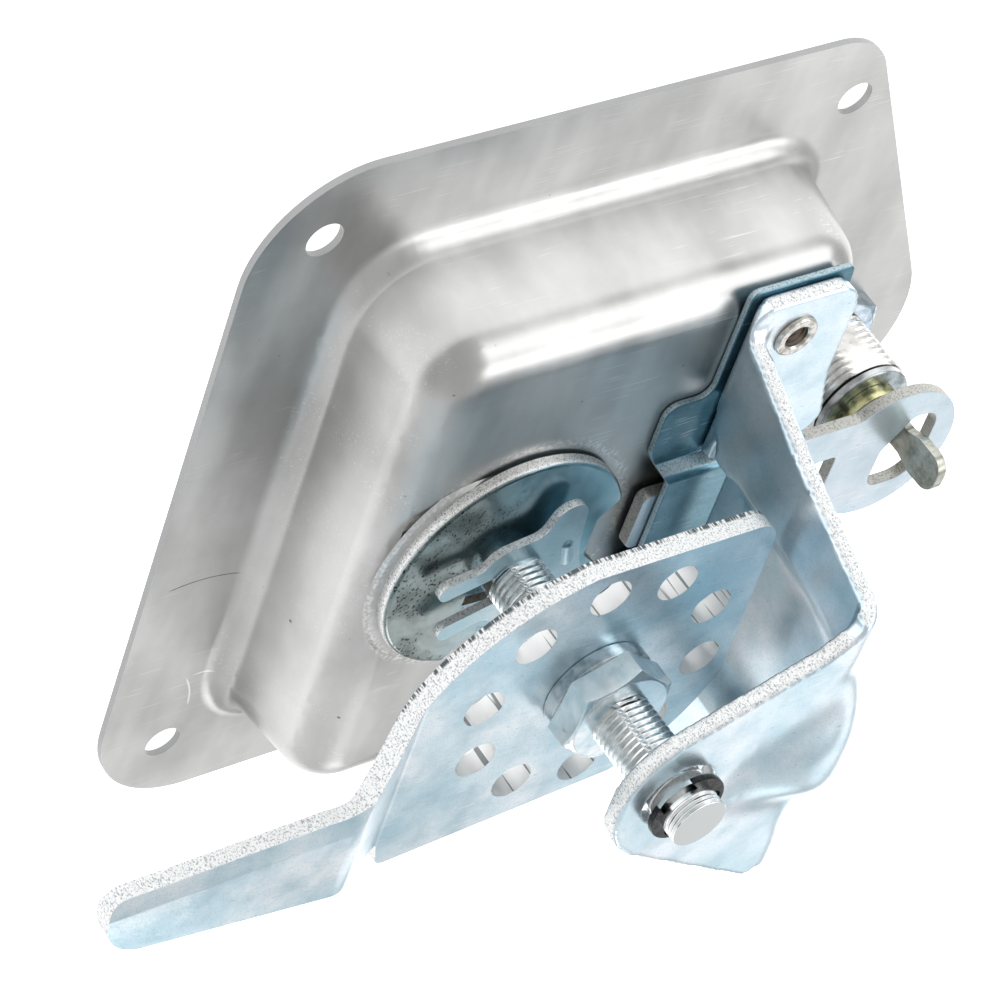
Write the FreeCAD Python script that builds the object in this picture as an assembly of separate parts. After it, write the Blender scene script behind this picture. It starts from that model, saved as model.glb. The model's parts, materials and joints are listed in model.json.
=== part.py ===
"""Recessed folding T-handle latch: a drawn stainless pan, with its mechanism riveted to the back.

Origin: centre of the four fixing holes, on the face of the flange that seats on the door.
+Z runs out of the back along the spindle, +X from the spindle to the key lock. Millimetres.
"""
import FreeCAD, Part
import math
import os

V = FreeCAD.Vector

# Fixing holes and flange
HOLE_SPACING_X = 99.0
HOLE_SPACING_Y = 114.0
FIXING_HOLE_D = 6.4
PAN_SHEET = 1.2
FLANGE_WIDTH_Y = 140.6
FLANGE_LEFT_MARGIN = 12.6       # fixing holes to the wide end's edge
FLANGE_SHOULDER_MARGIN = 0.3    # fixing holes to the start of the point
FLANGE_CORNER_R = 20.0
FLANGE_SHOULDER_R = 12.0
FLANGE_NOSE_R = 22.4

# Spindle axis and lock axis, from the centre of the fixing holes
SPINDLE_X = -16.0
LOCK_X = 61.0
FLANGE_POINT_MARGIN = 24.3015   # lock axis to where the flange's slanting edges would meet

# Recess of the pan, measured on its back
RECESS_DEPTH = 22.4
RECESS_LEFT = 26.0              # spindle axis to the foot of the wall
RECESS_RIGHT = 61.5
RECESS_HALF_Y = 50.8
RECESS_FAR_Y = 53.8             # the wall on the other side stands further out
RECESS_CORNER_R = 12.0
WALL_DRAFT = 3.5                # how far the wall leans in from foot to floor
FAR_WALL_DRAFT = 2.2
FLOOR_EDGE_R = 8.0
FOOT_R = 4.5
PAD_D = 46.6                    # round seat pressed up under the disc
PAD_RISE = 0.6

# Spindle and what it carries
ROD_D = 10.0
ROD_ACROSS_FLATS = 8.4
RUNNING_GAP = 0.06
BUSH_WALL = 2.0
BUSH_FLANGE_D = 24.0
BUSH_FLANGE_T = 1.2
WAVE_WASHER_T = 0.6
COLLAR_D = 18.0
COLLAR_T = 3.0
TANG_T = 6.0
TANG_W = 13.0
PIVOT_Z = 8.6
PIVOT_PIN_D = 5.0
SPINDLE_STUB = 3.3              # how far the bare end stands beyond the clip
DISC_D = 43.5
DISC_T = 2.0
DISC_EDGE_R = 0.9
NOTCH_BOTTOM_X = 16.4           # from the spindle axis
NOTCH_BOTTOM_HALF_W = 4.2
NOTCH_MOUTH_HALF_W = 11.0
FORK_T = 1.4
FORK_Z = 27.0
FORK_GROOVE_D = 6.6
FORK_TURN = 14.4
NUT_AF = 17.0
NUT_T = 5.0
SPRING_WASHER_D = 18.1
SPRING_WASHER_T = 2.4
CLIP_D = 13.0
CLIP_T = 1.1
CLIP_GROOVE_D = 7.2
CLIP_STAND_OFF = 1.6

# Cam plate and its lever arm, one pressed piece
CAM_T = 3.5
CAM_TOP_Z = 50.3
CAM_TURN = 85.0
ROD_HOLE_D = 7.2
ROD_HOLE_CIRCLE_R = 21.4
ROD_HOLE_COUNT = 10
ROD_HOLE_FIRST = 136.3
ARM_LIFT = 6.7
ARM_BEND_X = -33.5              # from the spindle axis
ARM_TIP_X = -87.4

# Support bracket, base plate and rivets
BRACKET_T = 3.0
EAR_TOP_Z = 73.5
EAR_HOLE_D = 12.4
WEB_FOOT_X = 31.2               # from the spindle axis, the web's inner face at the feet
WEB_TOP_X = 27.4
FOOT_REACH = 56.4
FOOT_HALF_Y = 46.4
FOOT_INNER_Y = 12.4
HEEL_R = 5.0
FOOT_GAP_HALF_Y = 19.8
FOOT_GAP_TOP_Z = 29.6
BEND_R = 2.5
BEAD_DEPTH = 4.6
BEAD_GROWTH = 1.2               # how much wider the bead is on its outer side
# Height on the web, half width at the sheet's face and at the bead's bottom.
BEAD_WEB = ((26.0, 18.6, 16.0), (40.0, 17.0, 14.4), (58.0, 17.0, 14.0), (67.0, 15.4, 11.5))
# Angle round the bend, edges across the bead (sheet face, bottom, bottom, sheet face), depth.
BEAD_BEND = ((24.0, (15.4, 5.5, -9.0, -13.8), 4.7), (48.0, (15.2, 1.4, -7.2, -13.4), 4.7),
             (70.0, (11.4, 1.2, -6.8, -11.2), 4.4), (90.0, (7.0, 1.5, -6.2, -9.0), 4.0))
# The same on the ear, by distance from the spindle axis.
BEAD_EAR = ((15.0, (2.9, 0.4, -5.2, -7.0), 1.5), (8.6, (0.4, -0.8, -4.2, -5.4), -0.3))
BASE_PLATE_T = 1.2
CHANNEL_HALF_Y = 9.8
CHANNEL_CLEAR = 0.1
RIVET_X = 41.4                  # from the spindle axis
RIVET_Y = 38.6
RIVET_D = 5.6
RIVET_BORE_D = 4.2
RIVET_HEAD_D = 7.8
RIVET_TAIL_D = 7.0
RIVET_HEAD_T = 0.8

# Lock bolt, the flat slide that enters the disc's notch
BOLT_T = 2.2
BOLT_GAP = 0.1
BOLT_HALF_Y = 8.2
BOLT_NOSE_HALF_Y = 6.0
BOLT_NOSE_X = 24.8              # from the spindle axis
BOLT_TRAVEL = 6.0
BOLT_HEAD_R = 13.8
BOLT_HEAD_OFFSET = (-0.2, -2.4)  # its centre from the lock axis

# Key lock
BARREL_D = 18.0
BARREL_ACROSS_FLATS = 15.4
BARREL_END_Z = 15.8
LOCK_HEAD_D = 22.0
LOCK_HEAD_T = 1.5
LOCK_NUT_AF = 22.0
LOCK_NUT_T = 4.0
PLUG_D = 11.0
PLUG_NECK_D = 7.0
KEYWAY = (8.0, 2.2, 14.0)
STOP_WASHER_D = 17.4
STOP_WASHER_T = 1.8
RETAINER_D = 12.0
RETAINER_T = 2.4
TAIL_THROW = 3.0
TAIL_BASE_T = 1.4
TAIL_BLADE_T = 1.8
TAIL_NECK_W = 5.2
TAIL_BLADE_W = 7.4
TAIL_END_Z = 35.0
WAFER_COUNT = 5
WAFER_T = 0.5
WAFER_PITCH = 2.4

# T-handle
GRIP_HALF_Y = 20.0
GRIP_REACH = 42.0
GRIP_D = 9.5
STEM_W = 11.0
CHEEK_T = 3.0
CHEEK_R = 7.5
CHEEK_GAP = 0.15
HANDLE_FRONT_Z = -0.6

# Levels and places that follow from the sizes above
FLOOR_Z = RECESS_DEPTH
FLOOR_FRONT_Z = FLOOR_Z - PAN_SHEET
BASE_TOP_Z = FLOOR_Z + BASE_PLATE_T
FEET_TOP_Z = BASE_TOP_Z + BRACKET_T
CAM_BOTTOM_Z = CAM_TOP_Z - CAM_T
NUT_Z = CAM_TOP_Z + SPRING_WASHER_T
RIVET_X_ROW = SPINDLE_X + RIVET_X
BUSH_HOLE_D = ROD_D + 2 * (RUNNING_GAP + BUSH_WALL)
BUSH_SEAT_Z = FLOOR_FRONT_Z + PAD_RISE
WAVE_WASHER_Z = BUSH_SEAT_Z - BUSH_FLANGE_T - WAVE_WASHER_T
COLLAR_Z = WAVE_WASHER_Z - COLLAR_T
CLIP_Z = EAR_TOP_Z + CLIP_STAND_OFF
SPINDLE_END_Z = CLIP_Z + CLIP_T + SPINDLE_STUB
DISC_Z = FLOOR_Z + PAD_RISE
DISC_TOP_Z = DISC_Z + DISC_T
BOLT_Z = DISC_Z + BOLT_GAP
BOLT_TOP_Z = BOLT_Z + BOLT_T


def rounded(points, radii, place):
    """A closed face through points, each corner rounded; place(u, v) puts a point in space."""
    n = len(points)
    corners = []
    for i in range(n):
        before, here, after = points[i - 1], points[i], points[(i + 1) % n]
        r = radii[i]
        if r <= 0:
            corners.append((here, None, here))
            continue
        ax, ay = before[0] - here[0], before[1] - here[1]
        bx, by = after[0] - here[0], after[1] - here[1]
        la, lb = math.hypot(ax, ay), math.hypot(bx, by)
        ax, ay, bx, by = ax / la, ay / la, bx / lb, by / lb
        half = math.acos(max(-1.0, min(1.0, ax * bx + ay * by))) / 2
        run = r / math.tan(half)
        mx, my = ax + bx, ay + by
        lm = math.hypot(mx, my)
        reach = r / math.sin(half) - r
        start = (here[0] + ax * run, here[1] + ay * run)
        middle = (here[0] + mx / lm * reach, here[1] + my / lm * reach)
        end = (here[0] + bx * run, here[1] + by * run)
        corners.append((start, middle, end))
    edges = []
    for i in range(n):
        start, middle, end = corners[i]
        if middle is not None:
            edges.append(Part.Arc(place(*start), place(*middle), place(*end)).toShape())
        following = corners[(i + 1) % n][0]
        if math.hypot(following[0] - end[0], following[1] - end[1]) > 1e-6:
            edges.append(Part.LineSegment(place(*end), place(*following)).toShape())
    return Part.Face(Part.Wire(Part.sortEdges(edges)[0]))


def prism(points, radii, z0, z1, x0=0.0):
    """A plate with a rounded outline in plan, its x measured from x0."""
    face = rounded(points, radii, lambda x, y: V(x0 + x, y, z0))
    return face.extrude(V(0, 0, z1 - z0))


def side_strip(points, radii, half_y, x0=0.0):
    """A bent strip: its profile in the XZ plane, as wide as half_y each side of y = 0."""
    face = rounded(points, radii, lambda x, z: V(x0 + x, -half_y, z))
    return face.extrude(V(0, 2 * half_y, 0))


def rod(diameter, z0, z1, x=0.0, y=0.0):
    return Part.makeCylinder(diameter / 2, z1 - z0, V(x, y, z0))


def ring(outer, inner, z0, z1, x=0.0, y=0.0):
    return rod(outer, z0, z1, x, y).cut(rod(inner, z0 - 1, z1 + 1, x, y))


def box(x0, x1, y0, y1, z0, z1):
    return Part.makeBox(x1 - x0, y1 - y0, z1 - z0, V(x0, y0, z0))


def double_d(diameter, across, z0, z1, x=0.0):
    """A round bar with two flats that face +Y and -Y."""
    bar = rod(diameter, z0, z1, x)
    return bar.common(box(x - diameter, x + diameter, -across / 2, across / 2, z0, z1))


def hexagon(across_flats, z0, z1, x, turn=0.0, bevel=0.0):
    """A hexagon bar whose corners are turned down at the top as a nut's are."""
    corner = across_flats / 2 / math.cos(math.pi / 6)
    points = [(corner * math.cos(math.radians(turn + 60 * i)),
               corner * math.sin(math.radians(turn + 60 * i))) for i in range(6)]
    bar = prism(points, [0] * 6, z0, z1, x)
    if bevel > 0:
        rise = bevel
        low = Part.makeCylinder(corner, z1 - z0 - rise, V(x, 0, z0))
        top = Part.makeCone(corner, corner - bevel * 1.9, rise, V(x, 0, z1 - rise))
        bar = bar.common(low.fuse(top))
    return bar


def turned(shape, degrees, x=SPINDLE_X, y=0.0):
    copy = shape.copy()
    copy.rotate(V(x, y, 0), V(0, 0, 1), degrees)
    return copy


def bent_profile(path, thickness, inner_r):
    """Closed profile of a bent sheet: path runs along one face, the metal lies to its left."""
    shifted = []
    n = len(path)
    normals = []
    for i in range(n - 1):
        dx, dz = path[i + 1][0] - path[i][0], path[i + 1][1] - path[i][1]
        length = math.hypot(dx, dz)
        normals.append((-dz / length, dx / length))
    for i in range(n):
        if i == 0 or i == n - 1:
            nx, nz = normals[0 if i == 0 else -1]
            shifted.append((path[i][0] + nx * thickness, path[i][1] + nz * thickness))
            continue
        (ax, az), (bx, bz) = normals[i - 1], normals[i]
        scale = thickness / (1 + ax * bx + az * bz)
        shifted.append((path[i][0] + (ax + bx) * scale, path[i][1] + (az + bz) * scale))
    near, far = [0.0], [0.0]
    for i in range(1, n - 1):
        (ax, az), (bx, bz) = normals[i - 1], normals[i]
        left_turn = ax * bz - az * bx > 0
        near.append(inner_r + thickness if left_turn else inner_r)
        far.append(inner_r if left_turn else inner_r + thickness)
    near.append(0.0)
    far.append(0.0)
    return path + shifted[::-1], near + far[::-1]


def edges_at(shape, z, tolerance=0.01):
    """Edges that lie wholly at one height."""
    return [e for e in shape.Edges
            if abs(e.BoundBox.ZMin - z) < tolerance and abs(e.BoundBox.ZMax - z) < tolerance]


def flange_outline():
    """Corner points of the flange: square at the wide end, pointed at the lock."""
    left = -HOLE_SPACING_X / 2 - FLANGE_LEFT_MARGIN
    shoulder = HOLE_SPACING_X / 2 + FLANGE_SHOULDER_MARGIN
    # The two slanting edges run on to a sharp point past the rounded nose.
    half = FLANGE_WIDTH_Y / 2
    tip = LOCK_X + FLANGE_POINT_MARGIN
    return [(left, -half), (shoulder, -half), (tip, 0), (shoulder, half), (left, half)]


def recess_wire(inset, lean, far_lean, z):
    """Outline of the recess at one height: a rounded rectangle, drawn in by inset and lean."""
    left = SPINDLE_X - RECESS_LEFT + inset + lean
    right = SPINDLE_X + RECESS_RIGHT - inset - lean
    half = RECESS_HALF_Y - inset - lean
    far = RECESS_FAR_Y - inset - far_lean
    r = RECESS_CORNER_R - inset - lean
    points = [(left, -far), (right, -far), (right, half), (left, half)]
    return rounded(points, [r] * 4, lambda x, y: V(x, y, z)).OuterWire


def recess_form(inset, z0, z1):
    """The recess as a solid block with leaning walls, inset by a sheet's thickness if asked."""
    wires = [recess_wire(inset, 0, 0, z0), recess_wire(inset, WALL_DRAFT, FAR_WALL_DRAFT, z1)]
    return Part.makeLoft(wires, True, True)


def pan():
    radii = [FLANGE_CORNER_R, FLANGE_SHOULDER_R, FLANGE_NOSE_R, FLANGE_SHOULDER_R, FLANGE_CORNER_R]
    plate = prism(flange_outline(), radii, -PAN_SHEET, 0)
    body = plate.fuse(recess_form(0, 0, FLOOR_Z)).removeSplitter()
    body = body.makeFillet(FLOOR_EDGE_R, edges_at(body, FLOOR_Z))
    foot = [e for e in edges_at(body, 0) if e.BoundBox.YMax < FLANGE_WIDTH_Y / 2 - 5
            and e.BoundBox.YMin > -FLANGE_WIDTH_Y / 2 + 5
            and e.BoundBox.XMin > SPINDLE_X - RECESS_LEFT - 1
            and e.BoundBox.XMax < SPINDLE_X + RECESS_RIGHT + 1]
    body = body.makeFillet(FOOT_R, foot)
    hollow = recess_form(PAN_SHEET, -PAN_SHEET, FLOOR_FRONT_Z)
    block = box(-120, 120, -90, 90, -PAN_SHEET - 20, -PAN_SHEET)
    void = block.fuse(hollow).removeSplitter()
    void = void.makeFillet(FLOOR_EDGE_R - PAN_SHEET, edges_at(void, FLOOR_FRONT_Z))
    mouth = [e for e in edges_at(void, -PAN_SHEET) if e.BoundBox.XMin > -100]
    void = void.makeFillet(FOOT_R + PAN_SHEET, mouth)
    body = body.cut(void)
    pad = Part.makeCone(PAD_D / 2 + PAD_RISE, PAD_D / 2, PAD_RISE, V(SPINDLE_X, 0, FLOOR_Z))
    under = Part.makeCone(PAD_D / 2 - 0.5, PAD_D / 2 - 0.5 - PAD_RISE, PAD_RISE, V(SPINDLE_X, 0, FLOOR_FRONT_Z))
    body = body.fuse(pad).removeSplitter().cut(under)
    for sx in (-1, 1):
        for sy in (-1, 1):
            at = (sx * HOLE_SPACING_X / 2, sy * HOLE_SPACING_Y / 2)
            body = body.cut(rod(FIXING_HOLE_D, -PAN_SHEET - 1, 1, *at))
        body = body.cut(rod(RIVET_D, FLOOR_FRONT_Z - 1, FLOOR_Z + 1, RIVET_X_ROW, sx * RIVET_Y))
    body = body.cut(rod(BUSH_HOLE_D, FLOOR_FRONT_Z - 1, DISC_Z + 1, SPINDLE_X))
    return body.cut(double_d(BARREL_D, BARREL_ACROSS_FLATS, -PAN_SHEET - 1, 1, LOCK_X))


def base_plate():
    """Thin plate under the bracket's feet, pressed up in the middle to guide the bolt."""
    low = FLOOR_Z
    high = BOLT_TOP_Z + CHANNEL_CLEAR
    wall = CHANNEL_HALF_Y + BASE_PLATE_T
    path = [(-50, low), (-wall, low), (-CHANNEL_HALF_Y, high), (CHANNEL_HALF_Y, high), (wall, low), (50, low)]
    profile, radii = bent_profile(path, BASE_PLATE_T, 0.4)
    face = rounded(profile, radii, lambda y, z: V(SPINDLE_X + 20, y, z))
    sheet = face.extrude(V(45, 0, 0))
    half = [(27.2, 0), (27.2, 9.6), (24.1, 14.5), (24.1, 24.9), (32.4, 24.9), (32.4, 47.2), (52.4, 47.2), (54.6, 24)]
    radii = [0, 1.5, 3.0, 2.6, 2.6, 1.6, 1.2, 8.0]
    outline = half + [(x, -y) for x, y in half[:0:-1]]
    cutter = prism(outline, radii + radii[:0:-1], low - 1, high + 4, SPINDLE_X)
    sheet = sheet.common(cutter)
    for sy in (-1, 1):
        sheet = sheet.cut(rod(RIVET_D, low - 1, high + 4, RIVET_X_ROW, sy * RIVET_Y))
    return sheet


def support_bracket():
    """One pressed sheet: two riveted feet, a beaded web and the ear that steadies the spindle's end."""
    path = [(-20, EAR_TOP_Z - BRACKET_T), (WEB_TOP_X, EAR_TOP_Z - BRACKET_T), (WEB_FOOT_X, BASE_TOP_Z),
            (FOOT_REACH + 6, BASE_TOP_Z)]
    points, radii = bent_profile(path, BRACKET_T, BEND_R)
    strip = side_strip(points, radii, 50, SPINDLE_X)
    split = WEB_FOOT_X + BRACKET_T + 3.0
    place = lambda y, z: V(SPINDLE_X + 20, y, z)
    web_outline = [(-FOOT_HALF_Y, BASE_TOP_Z - 1), (-FOOT_HALF_Y, FEET_TOP_Z), (-41.2, FEET_TOP_Z), (-40.2, 31),
                   (-35.8, 46), (-31.4, 65), (-29.8, EAR_TOP_Z + 1), (26.6, EAR_TOP_Z + 1), (29.0, 65),
                   (34.6, 46), (40.2, 31), (41.2, FEET_TOP_Z), (FOOT_HALF_Y, FEET_TOP_Z),
                   (FOOT_HALF_Y, BASE_TOP_Z - 1)]
    web = rounded(web_outline, [0, 0, 3, 12, 40, 40, 0, 0, 40, 40, 12, 3, 0, 0], place)
    web = web.extrude(V(split - 20, 0, 0)).cut(box(-60, SPINDLE_X + 26, -60, 60, 60, 90))
    gap = [(-FOOT_GAP_HALF_Y - 7, BASE_TOP_Z - 2), (-FOOT_GAP_HALF_Y - 4, BASE_TOP_Z + 2.8),
           (-FOOT_GAP_HALF_Y, FOOT_GAP_TOP_Z), (FOOT_GAP_HALF_Y, FOOT_GAP_TOP_Z),
           (FOOT_GAP_HALF_Y + 4, BASE_TOP_Z + 2.8), (FOOT_GAP_HALF_Y + 7, BASE_TOP_Z - 2)]
    gap_face = rounded(gap, [0, 4, 4, 4, 4, 0], place)
    gap_low = gap_face.extrude(V(WEB_FOOT_X + BRACKET_T + 0.2 - 20, 0, 0))
    gap_high = gap_face.extrude(V(30, 0, 0)).common(box(-20, 60, -60, 60, FEET_TOP_Z, 60))
    channel_room = box(SPINDLE_X + 20, SPINDLE_X + 60, -FOOT_INNER_Y, FOOT_INNER_Y, BASE_TOP_Z - 1, FEET_TOP_Z + 1)
    ear_block = ear_outline().extrude(V(0, 0, 8))
    bracket = strip.common(ear_block).fuse(strip.common(web))
    for sy in (-1, 1):
        outline = [(WEB_FOOT_X + 1, sy * FOOT_INNER_Y), (FOOT_REACH, sy * FOOT_INNER_Y), (52.9, sy * 26),
                   (52.5, sy * FOOT_HALF_Y), (WEB_FOOT_X + 1, sy * FOOT_HALF_Y)]
        foot = prism(outline, [0, 4, 20, 5, 0], BASE_TOP_Z - 1, FEET_TOP_Z + 0.001, SPINDLE_X)
        bracket = bracket.fuse(strip.common(foot))
    bracket = bracket.fuse(bead_form(BRACKET_T)).cut(bead_form(0.0)).cut(gap_low).cut(gap_high).cut(channel_room).removeSplitter()
    bracket = bracket.cut(rod(EAR_HOLE_D, EAR_TOP_Z - 6, EAR_TOP_Z + 6, SPINDLE_X))
    inner_x = SPINDLE_X + WEB_FOOT_X - 1
    for sy in (-1, 1):
        low, high = sorted((sy * (FOOT_HALF_Y - HEEL_R), sy * (FOOT_HALF_Y + 1)))
        corner = box(inner_x, inner_x + 1 + HEEL_R, low, high, BASE_TOP_Z - 1, FEET_TOP_Z + 1)
        heel = rod(2 * HEEL_R, BASE_TOP_Z - 2, FEET_TOP_Z + 2, inner_x + 1 + HEEL_R, sy * (FOOT_HALF_Y - HEEL_R))
        bracket = bracket.cut(corner.cut(heel))
    for sy in (-1, 1):
        bracket = bracket.cut(rod(RIVET_D, BASE_TOP_Z - 1, FEET_TOP_Z + 1, RIVET_X_ROW, sy * RIVET_Y))
    return max(bracket.Solids, key=lambda solid: solid.Volume)


def bead_form(skin):
    """The stiffening bead as a solid along web, bend and ear, grown by a skin for its outer side."""
    slope = (WEB_FOOT_X - WEB_TOP_X) / (EAR_TOP_Z - BRACKET_T - BASE_TOP_Z)
    ear_z = EAR_TOP_Z - BRACKET_T
    middle_x, middle_z = WEB_TOP_X - BEND_R, ear_z - BEND_R
    stations = []
    for z, half, top in BEAD_WEB:
        x = WEB_FOOT_X - slope * (z - BASE_TOP_Z)
        stations.append(((x, z), (1, 0), (half, top, -top, -half), BEAD_DEPTH))
    for angle, widths, depth in BEAD_BEND:
        ux, uz = math.cos(math.radians(angle)), math.sin(math.radians(angle))
        stations.append(((middle_x + BEND_R * ux, middle_z + BEND_R * uz), (ux, uz), widths, depth))
    for x, widths, depth in BEAD_EAR:
        stations.append(((x, ear_z), (0, 1), widths, depth))
    rings = []
    for (x, z), (ux, uz), (base_a, top_a, top_b, base_b), depth in stations:
        grow = BEAD_GROWTH if skin else 0.0
        start = 0.2 if skin else -1.0
        high = depth + skin
        base_a, top_a, top_b, base_b = base_a + grow, top_a + grow, top_b - grow, base_b - grow
        section = [(base_a, start), (base_a, skin), (top_a + 0.5 * (base_a - top_a), skin + 0.6 * depth), (top_a, high),
                   (top_b, high), (top_b + 0.5 * (base_b - top_b), skin + 0.6 * depth), (base_b, skin), (base_b, start)]
        rings.append([V(SPINDLE_X + x + ux * rise, y, z + uz * rise) for y, rise in section])
    faces = [Part.Face(Part.makePolygon(end + end[:1])) for end in (rings[0], rings[-1])]
    for first, second in zip(rings, rings[1:]):
        for i in range(len(first)):
            a, b, c, d = first[i - 1], first[i], second[i], second[i - 1]
            faces.append(Part.Face(Part.makePolygon([a, b, c, a])))
            faces.append(Part.Face(Part.makePolygon([a, c, d, a])))
    solid = Part.makeSolid(Part.makeShell(faces))
    if solid.Volume < 0:
        solid.reverse()
    return solid.removeSplitter()


def ear_outline():
    """Plan of the ear: round about the spindle, widening to the bend on both sides."""
    place = lambda x, y: V(SPINDLE_X + x, y, EAR_TOP_Z - 6)
    upper, nose, lower = (-3.8, 11.9), (-11.0, -1.0), (-4.4, -12.6)
    corners = [upper, (20.5, 21.9), (26.4, 26.4), (26.4, -29.8), (23.0, -30.2), lower]
    edges = [Part.Arc(place(*lower), place(*nose), place(*upper)).toShape()]
    for first, second in zip(corners, corners[1:]):
        edges.append(Part.LineSegment(place(*first), place(*second)).toShape())
    return Part.Face(Part.Wire(edges))


def rivets():
    """Tubular rivets: a bore right through, a head rolled over the foot and one inside the pan."""
    group = []
    shell = pan()
    for sy in (-1, 1):
        at = (RIVET_X_ROW, sy * RIVET_Y)
        body = rod(RIVET_D, FLOOR_FRONT_Z, FEET_TOP_Z, *at)
        head = rod(RIVET_HEAD_D, FEET_TOP_Z, FEET_TOP_Z + RIVET_HEAD_T, *at)
        head = head.makeFillet(RIVET_HEAD_T * 0.7, edges_at(head, FEET_TOP_Z + RIVET_HEAD_T))
        tail = rod(RIVET_TAIL_D, FLOOR_FRONT_Z - RIVET_HEAD_T, FLOOR_FRONT_Z + 0.6, *at)
        bore = rod(RIVET_BORE_D, FLOOR_FRONT_Z - 2, FEET_TOP_Z + 2, *at)
        dish = Part.makeCone(RIVET_BORE_D / 2 - 0.4, RIVET_BORE_D / 2 + 0.7, 1.1, V(at[0], at[1], FEET_TOP_Z + 0.1))
        solid = body.fuse(head).fuse(tail.cut(shell)).removeSplitter().cut(bore).cut(dish)
        group.append(max(solid.Solids, key=lambda one: one.Volume))
    return Part.makeCompound(group)


def shaft_bush():
    """Flanged plain bush in the pan's floor, flange inside the recess."""
    bore = ROD_D + 2 * RUNNING_GAP
    sleeve = ring(BUSH_HOLE_D, bore, BUSH_SEAT_Z, DISC_Z, SPINDLE_X)
    flange = ring(BUSH_FLANGE_D, bore, BUSH_SEAT_Z - BUSH_FLANGE_T, BUSH_SEAT_Z, SPINDLE_X)
    return sleeve.fuse(flange).removeSplitter()


def wave_washer():
    return ring(COLLAR_D - 1, ROD_D, WAVE_WASHER_Z, WAVE_WASHER_Z + WAVE_WASHER_T, SPINDLE_X)


def spindle():
    """Threaded rod with two flats; a collar and a flat tang at the front, a clip groove at the back."""
    plain = rod(ROD_D, COLLAR_Z, FLOOR_Z, SPINDLE_X)
    flats = double_d(ROD_D, ROD_ACROSS_FLATS, FLOOR_Z, CLIP_Z - 2.0, SPINDLE_X)
    neck = rod(ROD_D - 0.5, CLIP_Z - 2.0, SPINDLE_END_Z, SPINDLE_X)
    neck = neck.makeChamfer(0.5, edges_at(neck, SPINDLE_END_Z))
    collar = rod(COLLAR_D, COLLAR_Z, WAVE_WASHER_Z, SPINDLE_X)
    tang = box(SPINDLE_X - TANG_W / 2, SPINDLE_X + TANG_W / 2, -TANG_T / 2, TANG_T / 2, PIVOT_Z, COLLAR_Z)
    eye = Part.makeCylinder(TANG_W / 2, TANG_T, V(SPINDLE_X, -TANG_T / 2, PIVOT_Z), V(0, 1, 0))
    body = plain.fuse([flats, neck, collar, tang, eye]).removeSplitter()
    body = body.cut(ring(ROD_D + 2, FORK_GROOVE_D, FORK_Z, FORK_Z + FORK_T, SPINDLE_X))
    body = body.cut(ring(ROD_D + 2, CLIP_GROOVE_D, CLIP_Z, CLIP_Z + CLIP_T, SPINDLE_X))
    pin = Part.makeCylinder(PIVOT_PIN_D / 2, 40, V(SPINDLE_X, -20, PIVOT_Z), V(0, 1, 0))
    return body.cut(pin)


def hinge_pin():
    """Cross pin, held in the tang and peened flush with the handle's cheeks."""
    half = TANG_T / 2 + CHEEK_GAP + CHEEK_T
    return Part.makeCylinder(PIVOT_PIN_D / 2, 2 * half, V(SPINDLE_X, -half, PIVOT_Z), V(0, 1, 0))


def handle():
    """Cast T-handle, folded into the recess: two cheeks on the pin, a waisted stem and a round grip."""
    mid_z = HANDLE_FRONT_Z + GRIP_D / 2
    inner = TANG_T / 2 + CHEEK_GAP
    outer = inner + CHEEK_T
    grip_x = SPINDLE_X + GRIP_REACH - GRIP_D / 2
    cheeks = Part.makeCylinder(CHEEK_R, 2 * outer, V(SPINDLE_X, -outer, PIVOT_Z), V(0, 1, 0))
    arm_low = box(SPINDLE_X, SPINDLE_X + 14, -outer, outer, HANDLE_FRONT_Z, PIVOT_Z + CHEEK_R * 0.55)
    stem_top = HANDLE_FRONT_Z + GRIP_D * 0.8
    stem = prism([(12, -outer), (22, -STEM_W / 2 + 0.8), (GRIP_REACH - GRIP_D / 2, -STEM_W / 2),
                  (GRIP_REACH - GRIP_D / 2, STEM_W / 2), (22, STEM_W / 2 - 0.8), (12, outer)],
                 [0, 12, 0, 0, 12, 0], HANDLE_FRONT_Z + 0.4, stem_top, SPINDLE_X)
    grip = Part.makeCylinder(GRIP_D / 2, 2 * GRIP_HALF_Y - GRIP_D, V(grip_x, -GRIP_HALF_Y + GRIP_D / 2, mid_z),
                             V(0, 1, 0))
    ends = [Part.makeSphere(GRIP_D / 2, V(grip_x, sy * (GRIP_HALF_Y - GRIP_D / 2), mid_z)) for sy in (-1, 1)]
    front = box(-60, 60, -40, 40, HANDLE_FRONT_Z, 60)
    body = cheeks.fuse([arm_low, stem, grip] + ends).removeSplitter().common(front)
    slot_end = SPINDLE_X + TANG_W / 2 + 1.6
    slot = box(SPINDLE_X - 12, slot_end, -inner, inner, HANDLE_FRONT_Z - 2, 30)
    body = body.cut(slot)
    bore = PIVOT_PIN_D / 2 + RUNNING_GAP
    pin = Part.makeCylinder(bore, 40, V(SPINDLE_X, -20, PIVOT_Z), V(0, 1, 0))
    return body.cut(pin)


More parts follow.
